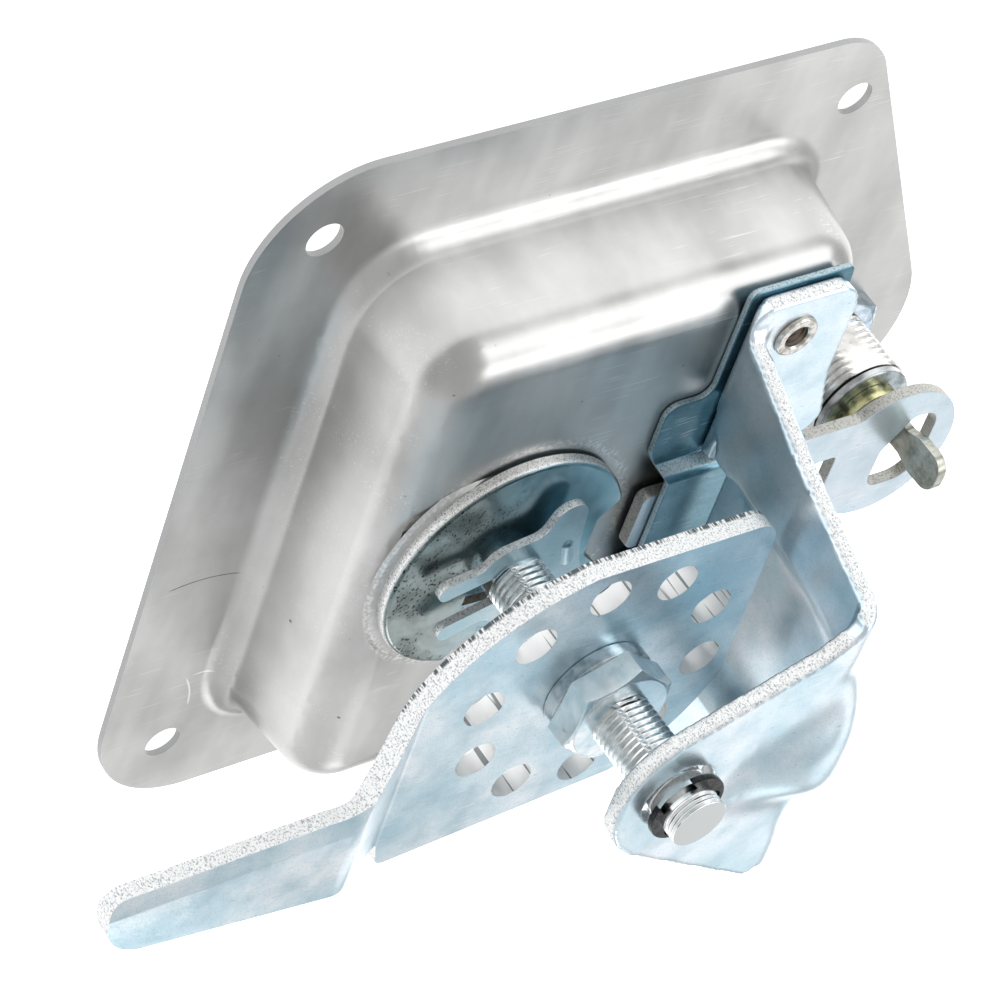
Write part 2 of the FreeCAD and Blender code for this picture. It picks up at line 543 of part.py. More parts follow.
def lock_disc():
    """Thick disc keyed on the spindle's flats; the bolt enters one of its two notches."""
    body = rod(DISC_D, DISC_Z, DISC_TOP_Z, SPINDLE_X)
    body = body.makeFillet(DISC_EDGE_R, edges_at(body, DISC_TOP_Z))
    mouth_x = DISC_D / 2 + 1.5
    for turn in (0, -CAM_TURN):
        outline = [(NOTCH_BOTTOM_X, -NOTCH_BOTTOM_HALF_W), (mouth_x, -NOTCH_MOUTH_HALF_W),
                   (mouth_x, NOTCH_MOUTH_HALF_W), (NOTCH_BOTTOM_X, NOTCH_BOTTOM_HALF_W)]
        notch = prism(outline, [1.5, 0, 0, 1.5], DISC_Z - 1, DISC_TOP_Z + 1, SPINDLE_X)
        body = body.cut(turned(notch, turn))
    slot = box(SPINDLE_X - 5.4, SPINDLE_X - 0.6, -7.8, -5.6, DISC_Z - 1, DISC_TOP_Z + 1)
    body = body.cut(turned(slot, -4)).cut(double_d(ROD_D, ROD_ACROSS_FLATS, DISC_Z - 1, DISC_TOP_Z + 1, SPINDLE_X))
    return body


def retaining_fork():
    """Spring plate pushed on the spindle's groove, with two prongs and a wide ribbed tail."""
    half = FORK_GROOVE_D / 2
    side = [(-14.0, half + 0.2), (-14.0, 7.1), (-6.2, 6.3), (-3.4, 8.7), (4.8, 8.0), (7.8, 12.4), (12.8, 12.0),
            (11.5, 2.0)]
    radii = [1.6, 1.7, 3, 4, 3, 3, 2.8, 6]
    outline = [(half, half)] + [(half * 0.4, half)] + side + [(x, -y) for x, y in side[::-1]]
    outline += [(half * 0.4, -half), (half, -half)]
    rounds = [half * 0.95, 0] + radii + radii[::-1] + [0, half * 0.95]
    plate = prism(outline, rounds, FORK_Z, FORK_Z + FORK_T, SPINDLE_X)
    rib_r = 1.5
    rib = Part.makeCylinder(rib_r, 6.5, V(SPINDLE_X + 9.2, -2.6, FORK_Z + FORK_T - rib_r + 0.5), V(0, 1, 0))
    rib = rib.makeFillet(rib_r * 0.8, [e for e in rib.Edges if e.Length > 2 * math.pi * rib_r * 0.99
                                       and e.Length < 2 * math.pi * rib_r * 1.01])
    over = box(SPINDLE_X, SPINDLE_X + 20, -10, 10, FORK_Z + 0.2, FORK_Z + 6)
    return turned(plate.fuse(rib.common(over)).removeSplitter(), FORK_TURN)


def cam_plate():
    """Pressed plate with a ring of rod holes; its lever arm is cranked out and runs to the wide end."""
    drop = math.tan(math.radians(32))
    path = [(32, CAM_TOP_Z), (ARM_BEND_X, CAM_TOP_Z), (ARM_BEND_X - ARM_LIFT / drop, CAM_TOP_Z + ARM_LIFT),
            (ARM_TIP_X - 5, CAM_TOP_Z + ARM_LIFT)]
    points, radii = bent_profile(path, CAM_T, 3.0)
    strip = side_strip(points, radii, 45, SPINDLE_X)
    z0, z1 = CAM_BOTTOM_Z - 5, CAM_TOP_Z + ARM_LIFT + 8
    place = lambda x, y: V(SPINDLE_X + x, y, z0)
    r = 28.4
    a0, a1 = math.radians(-16), math.radians(-66)
    edge_start = (r * math.cos(a0), r * math.sin(a0))
    edge_mid = (r * math.cos((a0 + a1) / 2), r * math.sin((a0 + a1) / 2))
    edge_end = (r * math.cos(a1), r * math.sin(a1))
    lines = [
        ("arc", edge_start, edge_mid, edge_end),
        ("line", edge_end, (-30.0, -29.8)),
        ("arc", (-30.0, -29.8), (-31.6, -29.2), (-32.2, -27.6)),
        ("line", (-32.2, -27.6), (-33.0, -24.4)),
        ("line", (-33.0, -24.4), (-80.2, -18.4)),
        ("arc", (-80.2, -18.4), (-85.8, -14.6), (ARM_TIP_X, -9.4)),
        ("arc", (ARM_TIP_X, -9.4), (-86.9, -6.7), (-84.6, -5.5)),
        ("line", (-84.6, -5.5), (-50.0, -4.4)),
        ("arc", (-50.0, -4.4), (-39.5, -1.6), (-34.4, 5.4)),
        ("arc", (-34.4, 5.4), (-26.0, 17.4), (-12.0, 25.6)),
        ("line", (-12.0, 25.6), (-8.0, 26.8)),
        ("line", (-8.0, 26.8), (22.0, 26.8)),
        ("arc", (22.0, 26.8), (25.2, 25.6), (26.6, 22.6)),
        ("line", (26.6, 22.6), edge_start),
    ]
    edges = []
    for kind, *ends in lines:
        if kind == "arc":
            edges.append(Part.Arc(*[place(*p) for p in ends]).toShape())
        else:
            edges.append(Part.LineSegment(*[place(*p) for p in ends]).toShape())
    outline = Part.Face(Part.Wire(edges)).extrude(V(0, 0, z1 - z0))
    body = strip.common(outline)
    for i in range(ROD_HOLE_COUNT):
        angle = math.radians(ROD_HOLE_FIRST - 360.0 / ROD_HOLE_COUNT * i)
        x = SPINDLE_X + ROD_HOLE_CIRCLE_R * math.cos(angle)
        y = ROD_HOLE_CIRCLE_R * math.sin(angle)
        body = body.cut(rod(ROD_HOLE_D, z0, z1, x, y))
    return body.cut(arm_bevel()).cut(double_d(ROD_D, ROD_ACROSS_FLATS, z0, z1, SPINDLE_X))


def arm_bevel():
    """Wedge taken off the arm's outer face along one edge: the crease seen there."""
    top = CAM_TOP_Z + ARM_LIFT
    place = lambda x, y, z: V(SPINDLE_X + x, y, z)
    wires = []
    for x, crease, edge in ((-88.0, -9.0, -3.0), (-42.0, -8.0, 2.0)):
        drop = 0.9 * (edge - crease) / 4.0
        corners = [place(x, crease, top), place(x, edge, top - drop), place(x, edge, top + 2), place(x, crease, top + 2)]
        wires.append(Part.makePolygon(corners + corners[:1]))
    return Part.makeLoft(wires, True, True)


def nut(z0, turn):
    body = hexagon(NUT_AF, z0, z0 + NUT_T, SPINDLE_X, turn, 0.9)
    return body.cut(rod(ROD_D, z0 - 1, z0 + NUT_T + 1, SPINDLE_X))


def spring_washer():
    """Split spring washer, pressed flat by the nut."""
    body = ring(SPRING_WASHER_D, ROD_D + 0.3, CAM_TOP_Z, CAM_TOP_Z + SPRING_WASHER_T, SPINDLE_X)
    gap = box(SPINDLE_X + 3, SPINDLE_X + 12, -0.5, 0.5, CAM_TOP_Z - 1, CAM_TOP_Z + SPRING_WASHER_T + 1)
    return body.cut(turned(gap, -60))


def e_clip():
    """Snap ring in the groove at the spindle's end, open on one side."""
    body = ring(CLIP_D, CLIP_GROOVE_D, CLIP_Z, CLIP_Z + CLIP_T, SPINDLE_X)
    half = CLIP_GROOVE_D / 2 * 0.85
    mouth = box(SPINDLE_X, SPINDLE_X + CLIP_D, -half, half, CLIP_Z - 1, CLIP_Z + CLIP_T + 1)
    body = body.cut(turned(mouth, 130))
    for turn in (10, 250):
        relief = rod(3.0, CLIP_Z - 1, CLIP_Z + CLIP_T + 1, SPINDLE_X + CLIP_GROOVE_D / 2 + 0.6)
        body = body.cut(turned(relief, turn))
    return body


def lock_body():
    """Threaded barrel with two flats; its round head lies on the front of the flange."""
    head = rod(LOCK_HEAD_D, -PAN_SHEET - LOCK_HEAD_T, -PAN_SHEET, LOCK_X)
    head = head.makeChamfer(0.7, edges_at(head, -PAN_SHEET - LOCK_HEAD_T))
    barrel = double_d(BARREL_D, BARREL_ACROSS_FLATS, -PAN_SHEET, BARREL_END_Z, LOCK_X)
    bore = rod(PLUG_D + 2 * RUNNING_GAP, -10, BARREL_END_Z + 1, LOCK_X)
    return head.fuse(barrel).removeSplitter().cut(bore)


def lock_nut():
    body = hexagon(LOCK_NUT_AF, 0, LOCK_NUT_T, LOCK_X, 30, 1.0)
    return body.cut(rod(BARREL_D, -1, LOCK_NUT_T + 1, LOCK_X))


def plug_front_z():
    return -PAN_SHEET - LOCK_HEAD_T


def lock_plug():
    """Key plug: turns in the barrel, with a keyway and a row of wafer slots."""
    z0, z1 = plug_front_z(), BARREL_END_Z
    neck_top = z1 + STOP_WASHER_T + RETAINER_T
    body = rod(PLUG_D, z0, z1, LOCK_X).fuse(rod(PLUG_NECK_D, z1, neck_top, LOCK_X)).removeSplitter()
    long, short, deep = KEYWAY
    body = body.cut(box(LOCK_X - long / 2, LOCK_X + long / 2, -short / 2, short / 2, z0 - 1, z0 + deep))
    for z in wafer_levels():
        body = body.cut(wafer_block(z))
    return body


def wafer_levels():
    first = plug_front_z() + 3.6
    return [first + i * WAFER_PITCH for i in range(WAFER_COUNT)]


def wafer_block(z):
    return box(LOCK_X - 4.6, LOCK_X + 4.6, -2.4, 2.4, z, z + WAFER_T)


def lock_wafers():
    """The lock's flat tumblers, one in each slot of the plug."""
    group = [wafer_block(z).cut(box(LOCK_X - 2.6, LOCK_X + 2.6, -1.1, 1.1, z - 1, z + 1)) for z in wafer_levels()]
    return Part.makeCompound(group)


def lock_washer():
    """Stop washer pressed on the plug's neck, behind the barrel."""
    z0 = BARREL_END_Z + 0.1
    body = ring(STOP_WASHER_D, PLUG_NECK_D, z0, BARREL_END_Z + STOP_WASHER_T, LOCK_X)
    return body.makeFillet(0.4, [e for e in edges_at(body, BARREL_END_Z + STOP_WASHER_T)
                                 if e.BoundBox.XLength > STOP_WASHER_D - 1])


def plug_retainer():
    z0 = BARREL_END_Z + STOP_WASHER_T
    return ring(RETAINER_D, PLUG_NECK_D, z0, z0 + RETAINER_T, LOCK_X)


def lock_tail():
    """Crank riveted on the plug: a round base and an upright blade that drives the bolt."""
    z0 = BARREL_END_Z + STOP_WASHER_T + RETAINER_T
    base = rod(RETAINER_D, z0, z0 + TAIL_BASE_T, LOCK_X)
    x = LOCK_X + TAIL_THROW
    neck, half = TAIL_NECK_W / 2, TAIL_BLADE_W / 2
    place = lambda y, z: V(x - TAIL_BLADE_T / 2, y, z)
    shoulder = BOLT_TOP_Z + 0.4
    points = [(-neck, z0 + TAIL_BASE_T - 0.5), (neck, z0 + TAIL_BASE_T - 0.5), (neck, shoulder), (half, shoulder + 3.2),
              (half, TAIL_END_Z), (-half, TAIL_END_Z), (-half, shoulder + 3.2), (-neck, shoulder)]
    blade = rounded(points, [0, 0, 1.2, 3, half * 0.8, half * 0.8, 3, 1.2], place).extrude(V(TAIL_BLADE_T, 0, 0))
    return base.fuse(blade).removeSplitter()


def lock_bolt():
    """Flat slide: a nose for the disc's notch, a bar under the base plate and a ring about the key lock."""
    head = LOCK_X - SPINDLE_X
    outline = [(BOLT_NOSE_X, -BOLT_NOSE_HALF_Y), (BOLT_NOSE_X + 6, -BOLT_NOSE_HALF_Y), (BOLT_NOSE_X + 6, -BOLT_HALF_Y),
               (head, -BOLT_HALF_Y), (head, BOLT_HALF_Y), (BOLT_NOSE_X + 6, BOLT_HALF_Y),
               (BOLT_NOSE_X + 6, BOLT_NOSE_HALF_Y), (BOLT_NOSE_X, BOLT_NOSE_HALF_Y)]
    bar = prism(outline, [1.5, 1, 1, 0, 0, 1, 1, 1.5], BOLT_Z, BOLT_TOP_Z, SPINDLE_X)
    dx, dy = BOLT_HEAD_OFFSET
    ring_head = rod(2 * BOLT_HEAD_R, BOLT_Z, BOLT_TOP_Z, LOCK_X + dx, dy)
    fill = prism([(head - 11.8, -6), (head - 4, -6), (head - 2, BOLT_HALF_Y + 2.4), (head - 9.5, BOLT_HALF_Y)],
                 [0, 0, 0, 0], BOLT_Z, BOLT_TOP_Z, SPINDLE_X)
    body = bar.fuse(ring_head).fuse(fill).removeSplitter()
    window = [(-1.6, -10.2), (-1.5, -1.6), (3.2, 5.2), (8.7, 4.6), (8.7, -10.2)]
    window = prism(window, [2.5, 3.0, 2.2, 3.4, 5.0], BOLT_Z - 1, BOLT_TOP_Z + 1, LOCK_X)
    side = [(-17, -BOLT_HALF_Y - 2), (-11.8, -BOLT_HALF_Y - 2), (-11.8, 0.9), (-17, 0.9)]
    side = prism(side, [0, 0, 0.6, 2], BOLT_Z - 1, BOLT_TOP_Z + 1, LOCK_X)
    return body.cut(window).cut(side)


PIECES = {
    "pan": pan,
    "base_plate": base_plate,
    "support_bracket": support_bracket,
    "rivets": rivets,
    "shaft_bush": shaft_bush,
    "wave_washer": wave_washer,
    "spindle": spindle,
    "hinge_pin": hinge_pin,
    "handle": handle,
    "lock_disc": lock_disc,
    "retaining_fork": retaining_fork,
    "cam_plate": cam_plate,
    "inner_nut": lambda: nut(CAM_BOTTOM_Z - NUT_T, 8),
    "spring_washer": spring_washer,
    "outer_nut": lambda: nut(NUT_Z, 22),
    "e_clip": e_clip,
    "lock_body": lock_body,
    "lock_nut": lock_nut,
    "lock_plug": lock_plug,
    "lock_wafers": lock_wafers,
    "lock_washer": lock_washer,
    "plug_retainer": plug_retainer,
    "lock_tail": lock_tail,
    "lock_bolt": lock_bolt,
}

os.makedirs("parts", exist_ok=True)
for name, build in PIECES.items():
    shape = build()
    solids = shape.Solids
    whole = solids[0] if len(solids) == 1 else Part.makeCompound(solids)
    whole.exportStep(os.path.join("parts", name + ".step"))
    sizes = whole.BoundBox
    print(f"{name}: {len(solids)} solid(s), valid {whole.isValid()}, {whole.Volume / 1000:.2f} cm3, "
          f"x {sizes.XMin:.1f} to {sizes.XMax:.1f}, y {sizes.YMin:.1f} to {sizes.YMax:.1f}, "
          f"z {sizes.ZMin:.1f} to {sizes.ZMax:.1f}")
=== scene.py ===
import json
import math

import bmesh
import bpy
from mathutils import Matrix, Vector

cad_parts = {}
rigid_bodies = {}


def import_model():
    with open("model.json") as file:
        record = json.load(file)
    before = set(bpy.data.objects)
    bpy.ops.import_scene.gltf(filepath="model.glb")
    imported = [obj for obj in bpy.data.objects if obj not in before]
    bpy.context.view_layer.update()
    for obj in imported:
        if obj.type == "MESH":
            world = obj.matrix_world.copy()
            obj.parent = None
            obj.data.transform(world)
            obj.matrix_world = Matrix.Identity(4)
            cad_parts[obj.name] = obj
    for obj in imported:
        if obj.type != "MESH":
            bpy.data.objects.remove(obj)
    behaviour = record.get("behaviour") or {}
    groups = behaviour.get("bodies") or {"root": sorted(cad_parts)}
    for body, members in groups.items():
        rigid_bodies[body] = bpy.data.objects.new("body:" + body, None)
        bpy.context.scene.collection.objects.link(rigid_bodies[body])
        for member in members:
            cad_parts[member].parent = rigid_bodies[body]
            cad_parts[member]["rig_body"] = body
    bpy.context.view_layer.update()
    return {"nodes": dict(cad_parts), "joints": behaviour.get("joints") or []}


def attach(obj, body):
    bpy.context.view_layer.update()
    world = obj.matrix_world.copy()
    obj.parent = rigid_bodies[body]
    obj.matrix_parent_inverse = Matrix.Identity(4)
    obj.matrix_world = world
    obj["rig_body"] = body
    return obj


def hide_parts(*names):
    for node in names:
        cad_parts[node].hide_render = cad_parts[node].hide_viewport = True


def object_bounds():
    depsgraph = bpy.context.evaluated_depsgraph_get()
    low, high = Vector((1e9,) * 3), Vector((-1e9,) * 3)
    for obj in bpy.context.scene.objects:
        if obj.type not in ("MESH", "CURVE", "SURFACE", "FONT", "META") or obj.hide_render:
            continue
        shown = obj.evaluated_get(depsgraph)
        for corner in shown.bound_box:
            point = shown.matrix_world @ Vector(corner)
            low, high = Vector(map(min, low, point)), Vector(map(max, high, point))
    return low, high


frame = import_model()
scene = bpy.context.scene

MM = 0.001


# --- Pan ---------------------------------------------------------------------------
# The tray let into the door: one stainless sheet, deep drawn, with a flange, four fixing
# holes and a round seat pressed up softly under the disc, which hides its rim. It is satin
# from drawing, with soft smears, fine scuffs, a few scratches, specks and shallow dents.
def linear(hex_colour):
    """An sRGB hex colour as the linear colour that a shader takes."""
    channels = [int(hex_colour[i:i + 2], 16) / 255 for i in (1, 3, 5)]
    return [c / 12.92 if c <= 0.04045 else ((c + 0.055) / 1.055) ** 2.4 for c in channels] + [1.0]


def add(tree, kind, sockets=None, out=0, **settings):
    """Adds a node with its settings, fills its sockets with values or links, gives one output."""
    node = tree.nodes.new(kind)
    for name, value in settings.items():
        setattr(node, name, value)
    for name, value in (sockets or {}).items():
        socket = node.inputs[name]
        if isinstance(value, bpy.types.NodeSocket):
            tree.links.new(value, socket)
        elif isinstance(value, str):
            socket.default_value = linear(value)
        else:
            socket.default_value = value
    return node.outputs[out] if len(node.outputs) else node


def lumps(tree, size_mm, detail=4, stretch=(1, 1, 1), turn=0, shift=(0, 0, 0), rough=0.55):
    """Soft noise whose lumps are about size_mm across, on Object coordinates."""
    where = add(tree, "ShaderNodeTexCoord", out="Object")
    vector = add(tree, "ShaderNodeMapping", {"Vector": where, "Location": shift, "Scale": stretch,
                                             "Rotation": (0, 0, math.radians(turn))})
    return add(tree, "ShaderNodeTexNoise", {"Vector": vector, "Scale": 1 / (size_mm * MM), "Detail": detail,
                                            "Roughness": rough})


def scuffs(tree, length_mm, width_mm, turn, cut, shift=(0, 0, 0)):
    """Fine straight marks: noise drawn out along one direction, and only its peaks."""
    thin = length_mm / width_mm
    fine = lumps(tree, length_mm, 1, (1, thin, thin), turn, shift, 0.4)
    patches = add(tree, "ShaderNodeMapRange", {
        "Value": lumps(tree, length_mm * 1.6, 2, shift=shift), "From Min": 0.5, "From Max": 0.6})
    return add(tree, "ShaderNodeMath", {
        0: add(tree, "ShaderNodeMapRange", {"Value": fine, "From Min": cut, "From Max": cut + 0.05}),
        1: patches}, operation="MULTIPLY")


def lies_at(tree, axis):
    """How far along an axis the surface lies, in metres."""
    where = add(tree, "ShaderNodeTexCoord", out="Object")
    return add(tree, "ShaderNodeSeparateXYZ", {0: where}, axis)


def faces_along(tree, axis):
    """How squarely the surface faces along an axis: 1 across it, 0 beside it."""
    facing = add(tree, "ShaderNodeTexCoord", out="Normal")
    along = add(tree, "ShaderNodeSeparateXYZ", {0: facing}, axis)
    return add(tree, "ShaderNodeMath", {0: along}, operation="ABSOLUTE")


def out_from(tree, place):
    """Distance in plan from a place on the latch."""
    where = add(tree, "ShaderNodeTexCoord", out="Object")
    local = add(tree, "ShaderNodeMapping", {"Vector": where, "Scale": (1, 1, 0),
                                            "Location": (-place[0], -place[1], 0)})
    return add(tree, "ShaderNodeVectorMath", {0: local}, "Value", operation="LENGTH")


def scratch(tree, start, end, rise_mm, width_mm):
    """One long bowed scratch between two places in plan, in millimetres: 1 on it, 0 beside it."""
    start, end = Vector(start), Vector(end)
    chord = end - start
    radius = chord.length ** 2 / (8 * rise_mm) + rise_mm / 2
    away = Vector((-chord.y, chord.x)).normalized()
    centre = (start + end) / 2 - away * (radius - rise_mm)
    reach = math.cos(math.asin(chord.length / 2 / radius))
    where = add(tree, "ShaderNodeTexCoord", out="Object")
    local = add(tree, "ShaderNodeMapping", {"Vector": where, "Scale": (1, 1, 0),
                                            "Location": (-centre.x * MM, -centre.y * MM, 0)})
    distance = add(tree, "ShaderNodeVectorMath", {0: local}, "Value", operation="LENGTH")
    off = add(tree, "ShaderNodeMath", {0: distance, 1: radius * MM}, operation="SUBTRACT")
    off = add(tree, "ShaderNodeMath", {0: off}, operation="ABSOLUTE")
    near = add(tree, "ShaderNodeMapRange", {
        "Value": off,
        "From Min": 0.3 * width_mm * MM, "From Max": 0.6 * width_mm * MM, "To Min": 1.0, "To Max": 0.0})
    along = add(tree, "ShaderNodeVectorMath", {0: local, 1: (away.x, away.y, 0)}, "Value",
                operation="DOT_PRODUCT")
    ends = add(tree, "ShaderNodeMapRange", {
        "Value": along, "From Min": radius * reach * MM, "From Max": (radius * reach + 0.2 * rise_mm) * MM})
    return add(tree, "ShaderNodeMath", {0: near, 1: ends}, operation="MULTIPLY")


def new_material(name):
    """An empty material and its tree."""
    material = bpy.data.materials.new(name)
    material.use_nodes = True
    material.node_tree.nodes.clear()
    return material, material.node_tree


def surface(tree, colour, roughness, normal, metallic=1.0):
    """Ends a material's tree in one shader."""
    shader = add(tree, "ShaderNodeBsdfPrincipled", {"Base Color": colour, "Roughness": roughness,
                                                    "Normal": normal, "Metallic": metallic})
    add(tree, "ShaderNodeOutputMaterial", {"Surface": shader})


SHARP_FROM = 30     # degrees between two faces
joint_at = {joint["name"]: Vector(joint["pos_m"]) for joint in frame["joints"]}


def merged_copy(node):
    """A CAD node's mesh with its corners joined and its flat faces made whole."""
    form = bmesh.new()
    form.from_mesh(frame["nodes"][node].data)
    bmesh.ops.remove_doubles(form, verts=form.verts, dist=0.002 * MM)
    bmesh.ops.dissolve_limit(form, angle_limit=math.radians(0.4), verts=form.verts, edges=form.edges)
    return form


def break_edges(form, width_mm, segments=2):
    """Rounds the sharp edges, as blanking, tumbling and plating leave them."""
    sharp = [edge for edge in form.edges
             if len(edge.link_faces) == 2 and edge.calc_face_angle() > math.radians(SHARP_FROM)]
    bmesh.ops.bevel(form, geom=sharp, offset=width_mm * MM, offset_type="OFFSET", segments=segments,
                    profile=0.5, affect="EDGES", clamp_overlap=True, material=-1)


def fit(form, name, node, material, smooth_below=SHARP_FROM):
    """Makes a form into the finished piece that stands in a CAD node's place."""
    for face in form.faces:
        face.smooth = True
    mesh = bpy.data.meshes.new(name)
    form.to_mesh(mesh)
    form.free()
    mesh.set_sharp_from_angle(angle=math.radians(smooth_below))
    mesh.materials.append(material)
    piece = bpy.data.objects.new(name, mesh)
    scene.collection.objects.link(piece)
    piece.modifiers.new("even_shading", "WEIGHTED_NORMAL").keep_sharp = True
    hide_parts(node)
    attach(piece, frame["nodes"][node]["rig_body"])
    return piece


# A dotted band of painted highlight on the pan's floor just outside the disc, where the softly raised floor
# catches light. These values give its radii from the spindle and the height above which it shows.
HIGHLIGHT_RING_FROM, HIGHLIGHT_RING_FULL_FROM, HIGHLIGHT_RING_FULL_TO, HIGHLIGHT_RING_TO = 22.2, 23.2, 23.6, 24.8     # from the spindle
HIGHLIGHT_RING_ABOVE = 21
stainless, tree = new_material("drawn_stainless_steel")
smears = lumps(tree, 30, 5, (1, 1, 1), shift=(0.31, 0.12, 0))
streaks = lumps(tree, 16, 3, (1.6, 0.5, 1), 12, (0.1, 0.4, 0), 0.45)
cloudy = add(tree, "ShaderNodeMath", {0: smears, 1: streaks}, operation="ADD")
fine_scuffs = add(tree, "ShaderNodeMath", {
    0: scuffs(tree, 9, 0.3, 62, 0.66),
    1: scuffs(tree, 12, 0.25, -28, 0.67, (0.2, 0, 0))}, operation="MAXIMUM")
light_marks = add(tree, "ShaderNodeMath", {
    0: scratch(tree, (-48.8, -41.6), (-46.9, -48.5), 0.5, 0.35),
    1: scratch(tree, (-47.3, -41.2), (-44.2, -41.3), 0.2, 0.35)}, operation="MAXIMUM")
hairline = scratch(tree, (-58.2, -16.9), (-44.7, -17.6), 0.9, 0.22)
specks = add(tree, "ShaderNodeMapRange", {
    "Value": lumps(tree, 1.7, 1, rough=0.3, shift=(0.05, 0.02, 0)), "From Min": 0.8, "From Max": 0.83})
grime = add(tree, "ShaderNodeMath", {0: hairline, 1: specks}, operation="MAXIMUM")
flat = faces_along(tree, "Z")
height = lies_at(tree, "Z")
cut_edge = add(tree, "ShaderNodeMath", {
    0: add(tree, "ShaderNodeMapRange", {"Value": flat, "From Min": 0.5, "From Max": 0.3}),
    1: add(tree, "ShaderNodeMapRange", {
        "Value": height, "From Min": 1.5 * MM, "From Max": 1.2 * MM})}, operation="MULTIPLY")
colour = add(tree, "ShaderNodeMix", {
    0: add(tree, "ShaderNodeMapRange", {"Value": cloudy, "From Min": 0.78, "From Max": 1.22}),
    6: "#B3B3B2", 7: "#D6D6D5"}, 2, data_type="RGBA")
colour = add(tree, "ShaderNodeMix", {
    0: add(tree, "ShaderNodeMath", {
        0: add(tree, "ShaderNodeMath", {0: fine_scuffs, 1: 0.4}, operation="MULTIPLY"),
        1: light_marks}, operation="MAXIMUM"),
    6: colour, 7: "#F2F2F2"}, 2, data_type="RGBA")
colour = add(tree, "ShaderNodeMix", {
    0: add(tree, "ShaderNodeMath", {0: grime, 1: 0.75}, operation="MULTIPLY"),
    6: colour, 7: "#5C5D5E"}, 2, data_type="RGBA")
colour = add(tree, "ShaderNodeMix", {
    0: add(tree, "ShaderNodeMath", {0: cut_edge, 1: 0.8}, operation="MULTIPLY"),
    6: colour, 7: "#8D8E8F"}, 2, data_type="RGBA")
seat_axis = joint_at["spindle_turn"]
from_seat = out_from(tree, seat_axis)
highlight_inside = add(tree, "ShaderNodeMapRange", {
    "Value": from_seat, "From Min": HIGHLIGHT_RING_FROM * MM, "From Max": HIGHLIGHT_RING_FULL_FROM * MM})
highlight_outside = add(tree, "ShaderNodeMapRange", {
    "Value": from_seat, "From Min": HIGHLIGHT_RING_TO * MM, "From Max": HIGHLIGHT_RING_FULL_TO * MM})
highlight_on_floor = add(tree, "ShaderNodeMapRange", {
    "Value": height, "From Min": HIGHLIGHT_RING_ABOVE * MM, "From Max": (HIGHLIGHT_RING_ABOVE + 1) * MM})
highlight_ring = add(tree, "ShaderNodeMath", {
    0: add(tree, "ShaderNodeMath", {0: highlight_inside, 1: highlight_outside}, operation="MULTIPLY"),
    1: highlight_on_floor}, operation="MULTIPLY")
# Painted highlight: dots lightened towards white on that ring.
painted_highlight_dots = add(tree, "ShaderNodeMath", {
    0: highlight_ring,
    1: add(tree, "ShaderNodeMapRange", {
        "Value": lumps(tree, 0.6, 1, rough=0.3),
        "From Min": 0.46, "From Max": 0.62})}, operation="MULTIPLY")
colour = add(tree, "ShaderNodeMix", {
    0: add(tree, "ShaderNodeMath", {0: painted_highlight_dots, 1: 0.55}, operation="MULTIPLY"),
    6: colour, 7: "#F4F4F3"}, 2, data_type="RGBA")
normal = add(tree, "ShaderNodeBump", {
    "Height": lumps(tree, 0.9, 2), "Distance": 0.02 * MM, "Strength": 0.22})
normal = add(tree, "ShaderNodeBump", {
    "Height": lumps(tree, 24, 1, shift=(0.7, 0.2, 0)),
    "Distance": 1.0 * MM, "Strength": 0.12, "Normal": normal})
normal = add(tree, "ShaderNodeBump", {
    "Height": grime, "Distance": -0.06 * MM, "Strength": 0.5, "Normal": normal})
surface(
    tree, colour,
    add(tree, "ShaderNodeMapRange", {
        "Value": cloudy, "From Min": 0.8, "From Max": 1.2, "To Min": 0.3, "To Max": 0.4}), normal)

# The seat's rim is drawn in under the disc, less and less towards the wide end, where it
# runs into the rounded foot of the wall. Its points slide along the floor's seams.
SEAT_RIM_FROM, SEAT_RIM_TO, SEAT_DRAWN_IN, SEAT_ABOVE = 22.8, 24.4, 2.9, 22.2
FLOOR_STARTS, DRAWN_WITHIN = -15.6, 8     # in x, from the spindle
SEAM_WITHIN = 0.05
form = merged_copy("pan")
rim_places = {}
for vert in form.verts:
    out = (vert.co - seat_axis).to_2d()
    if vert.co.z > SEAT_ABOVE * MM and SEAT_RIM_FROM * MM < out.length < SEAT_RIM_TO * MM:
        drawn = min(1.0, max(0.0, (out.x / MM - FLOOR_STARTS) / DRAWN_WITHIN))
        kept = out.length - SEAT_DRAWN_IN * MM * drawn
        slide = -out.normalized()
        for edge in vert.link_edges:
            along = edge.other_vert(vert).co - vert.co
            seam = abs(along.x) < SEAM_WITHIN * MM and abs(along.z) < SEAM_WITHIN * MM
            if seam and along.y * out.y > 0:
                slide = -along.to_2d().normalized()
        back = out.dot(slide)
        travel = -back - math.sqrt(max(0.0, back ** 2 - out.length ** 2 + kept ** 2))
        rim_places[vert] = out + slide * travel
for vert, place in rim_places.items():
    vert.co.x, vert.co.y = seat_axis.x + place.x, seat_axis.y + place.y
break_edges(form, 0.25)
fit(form, "pan_drawn", "pan", stainless)


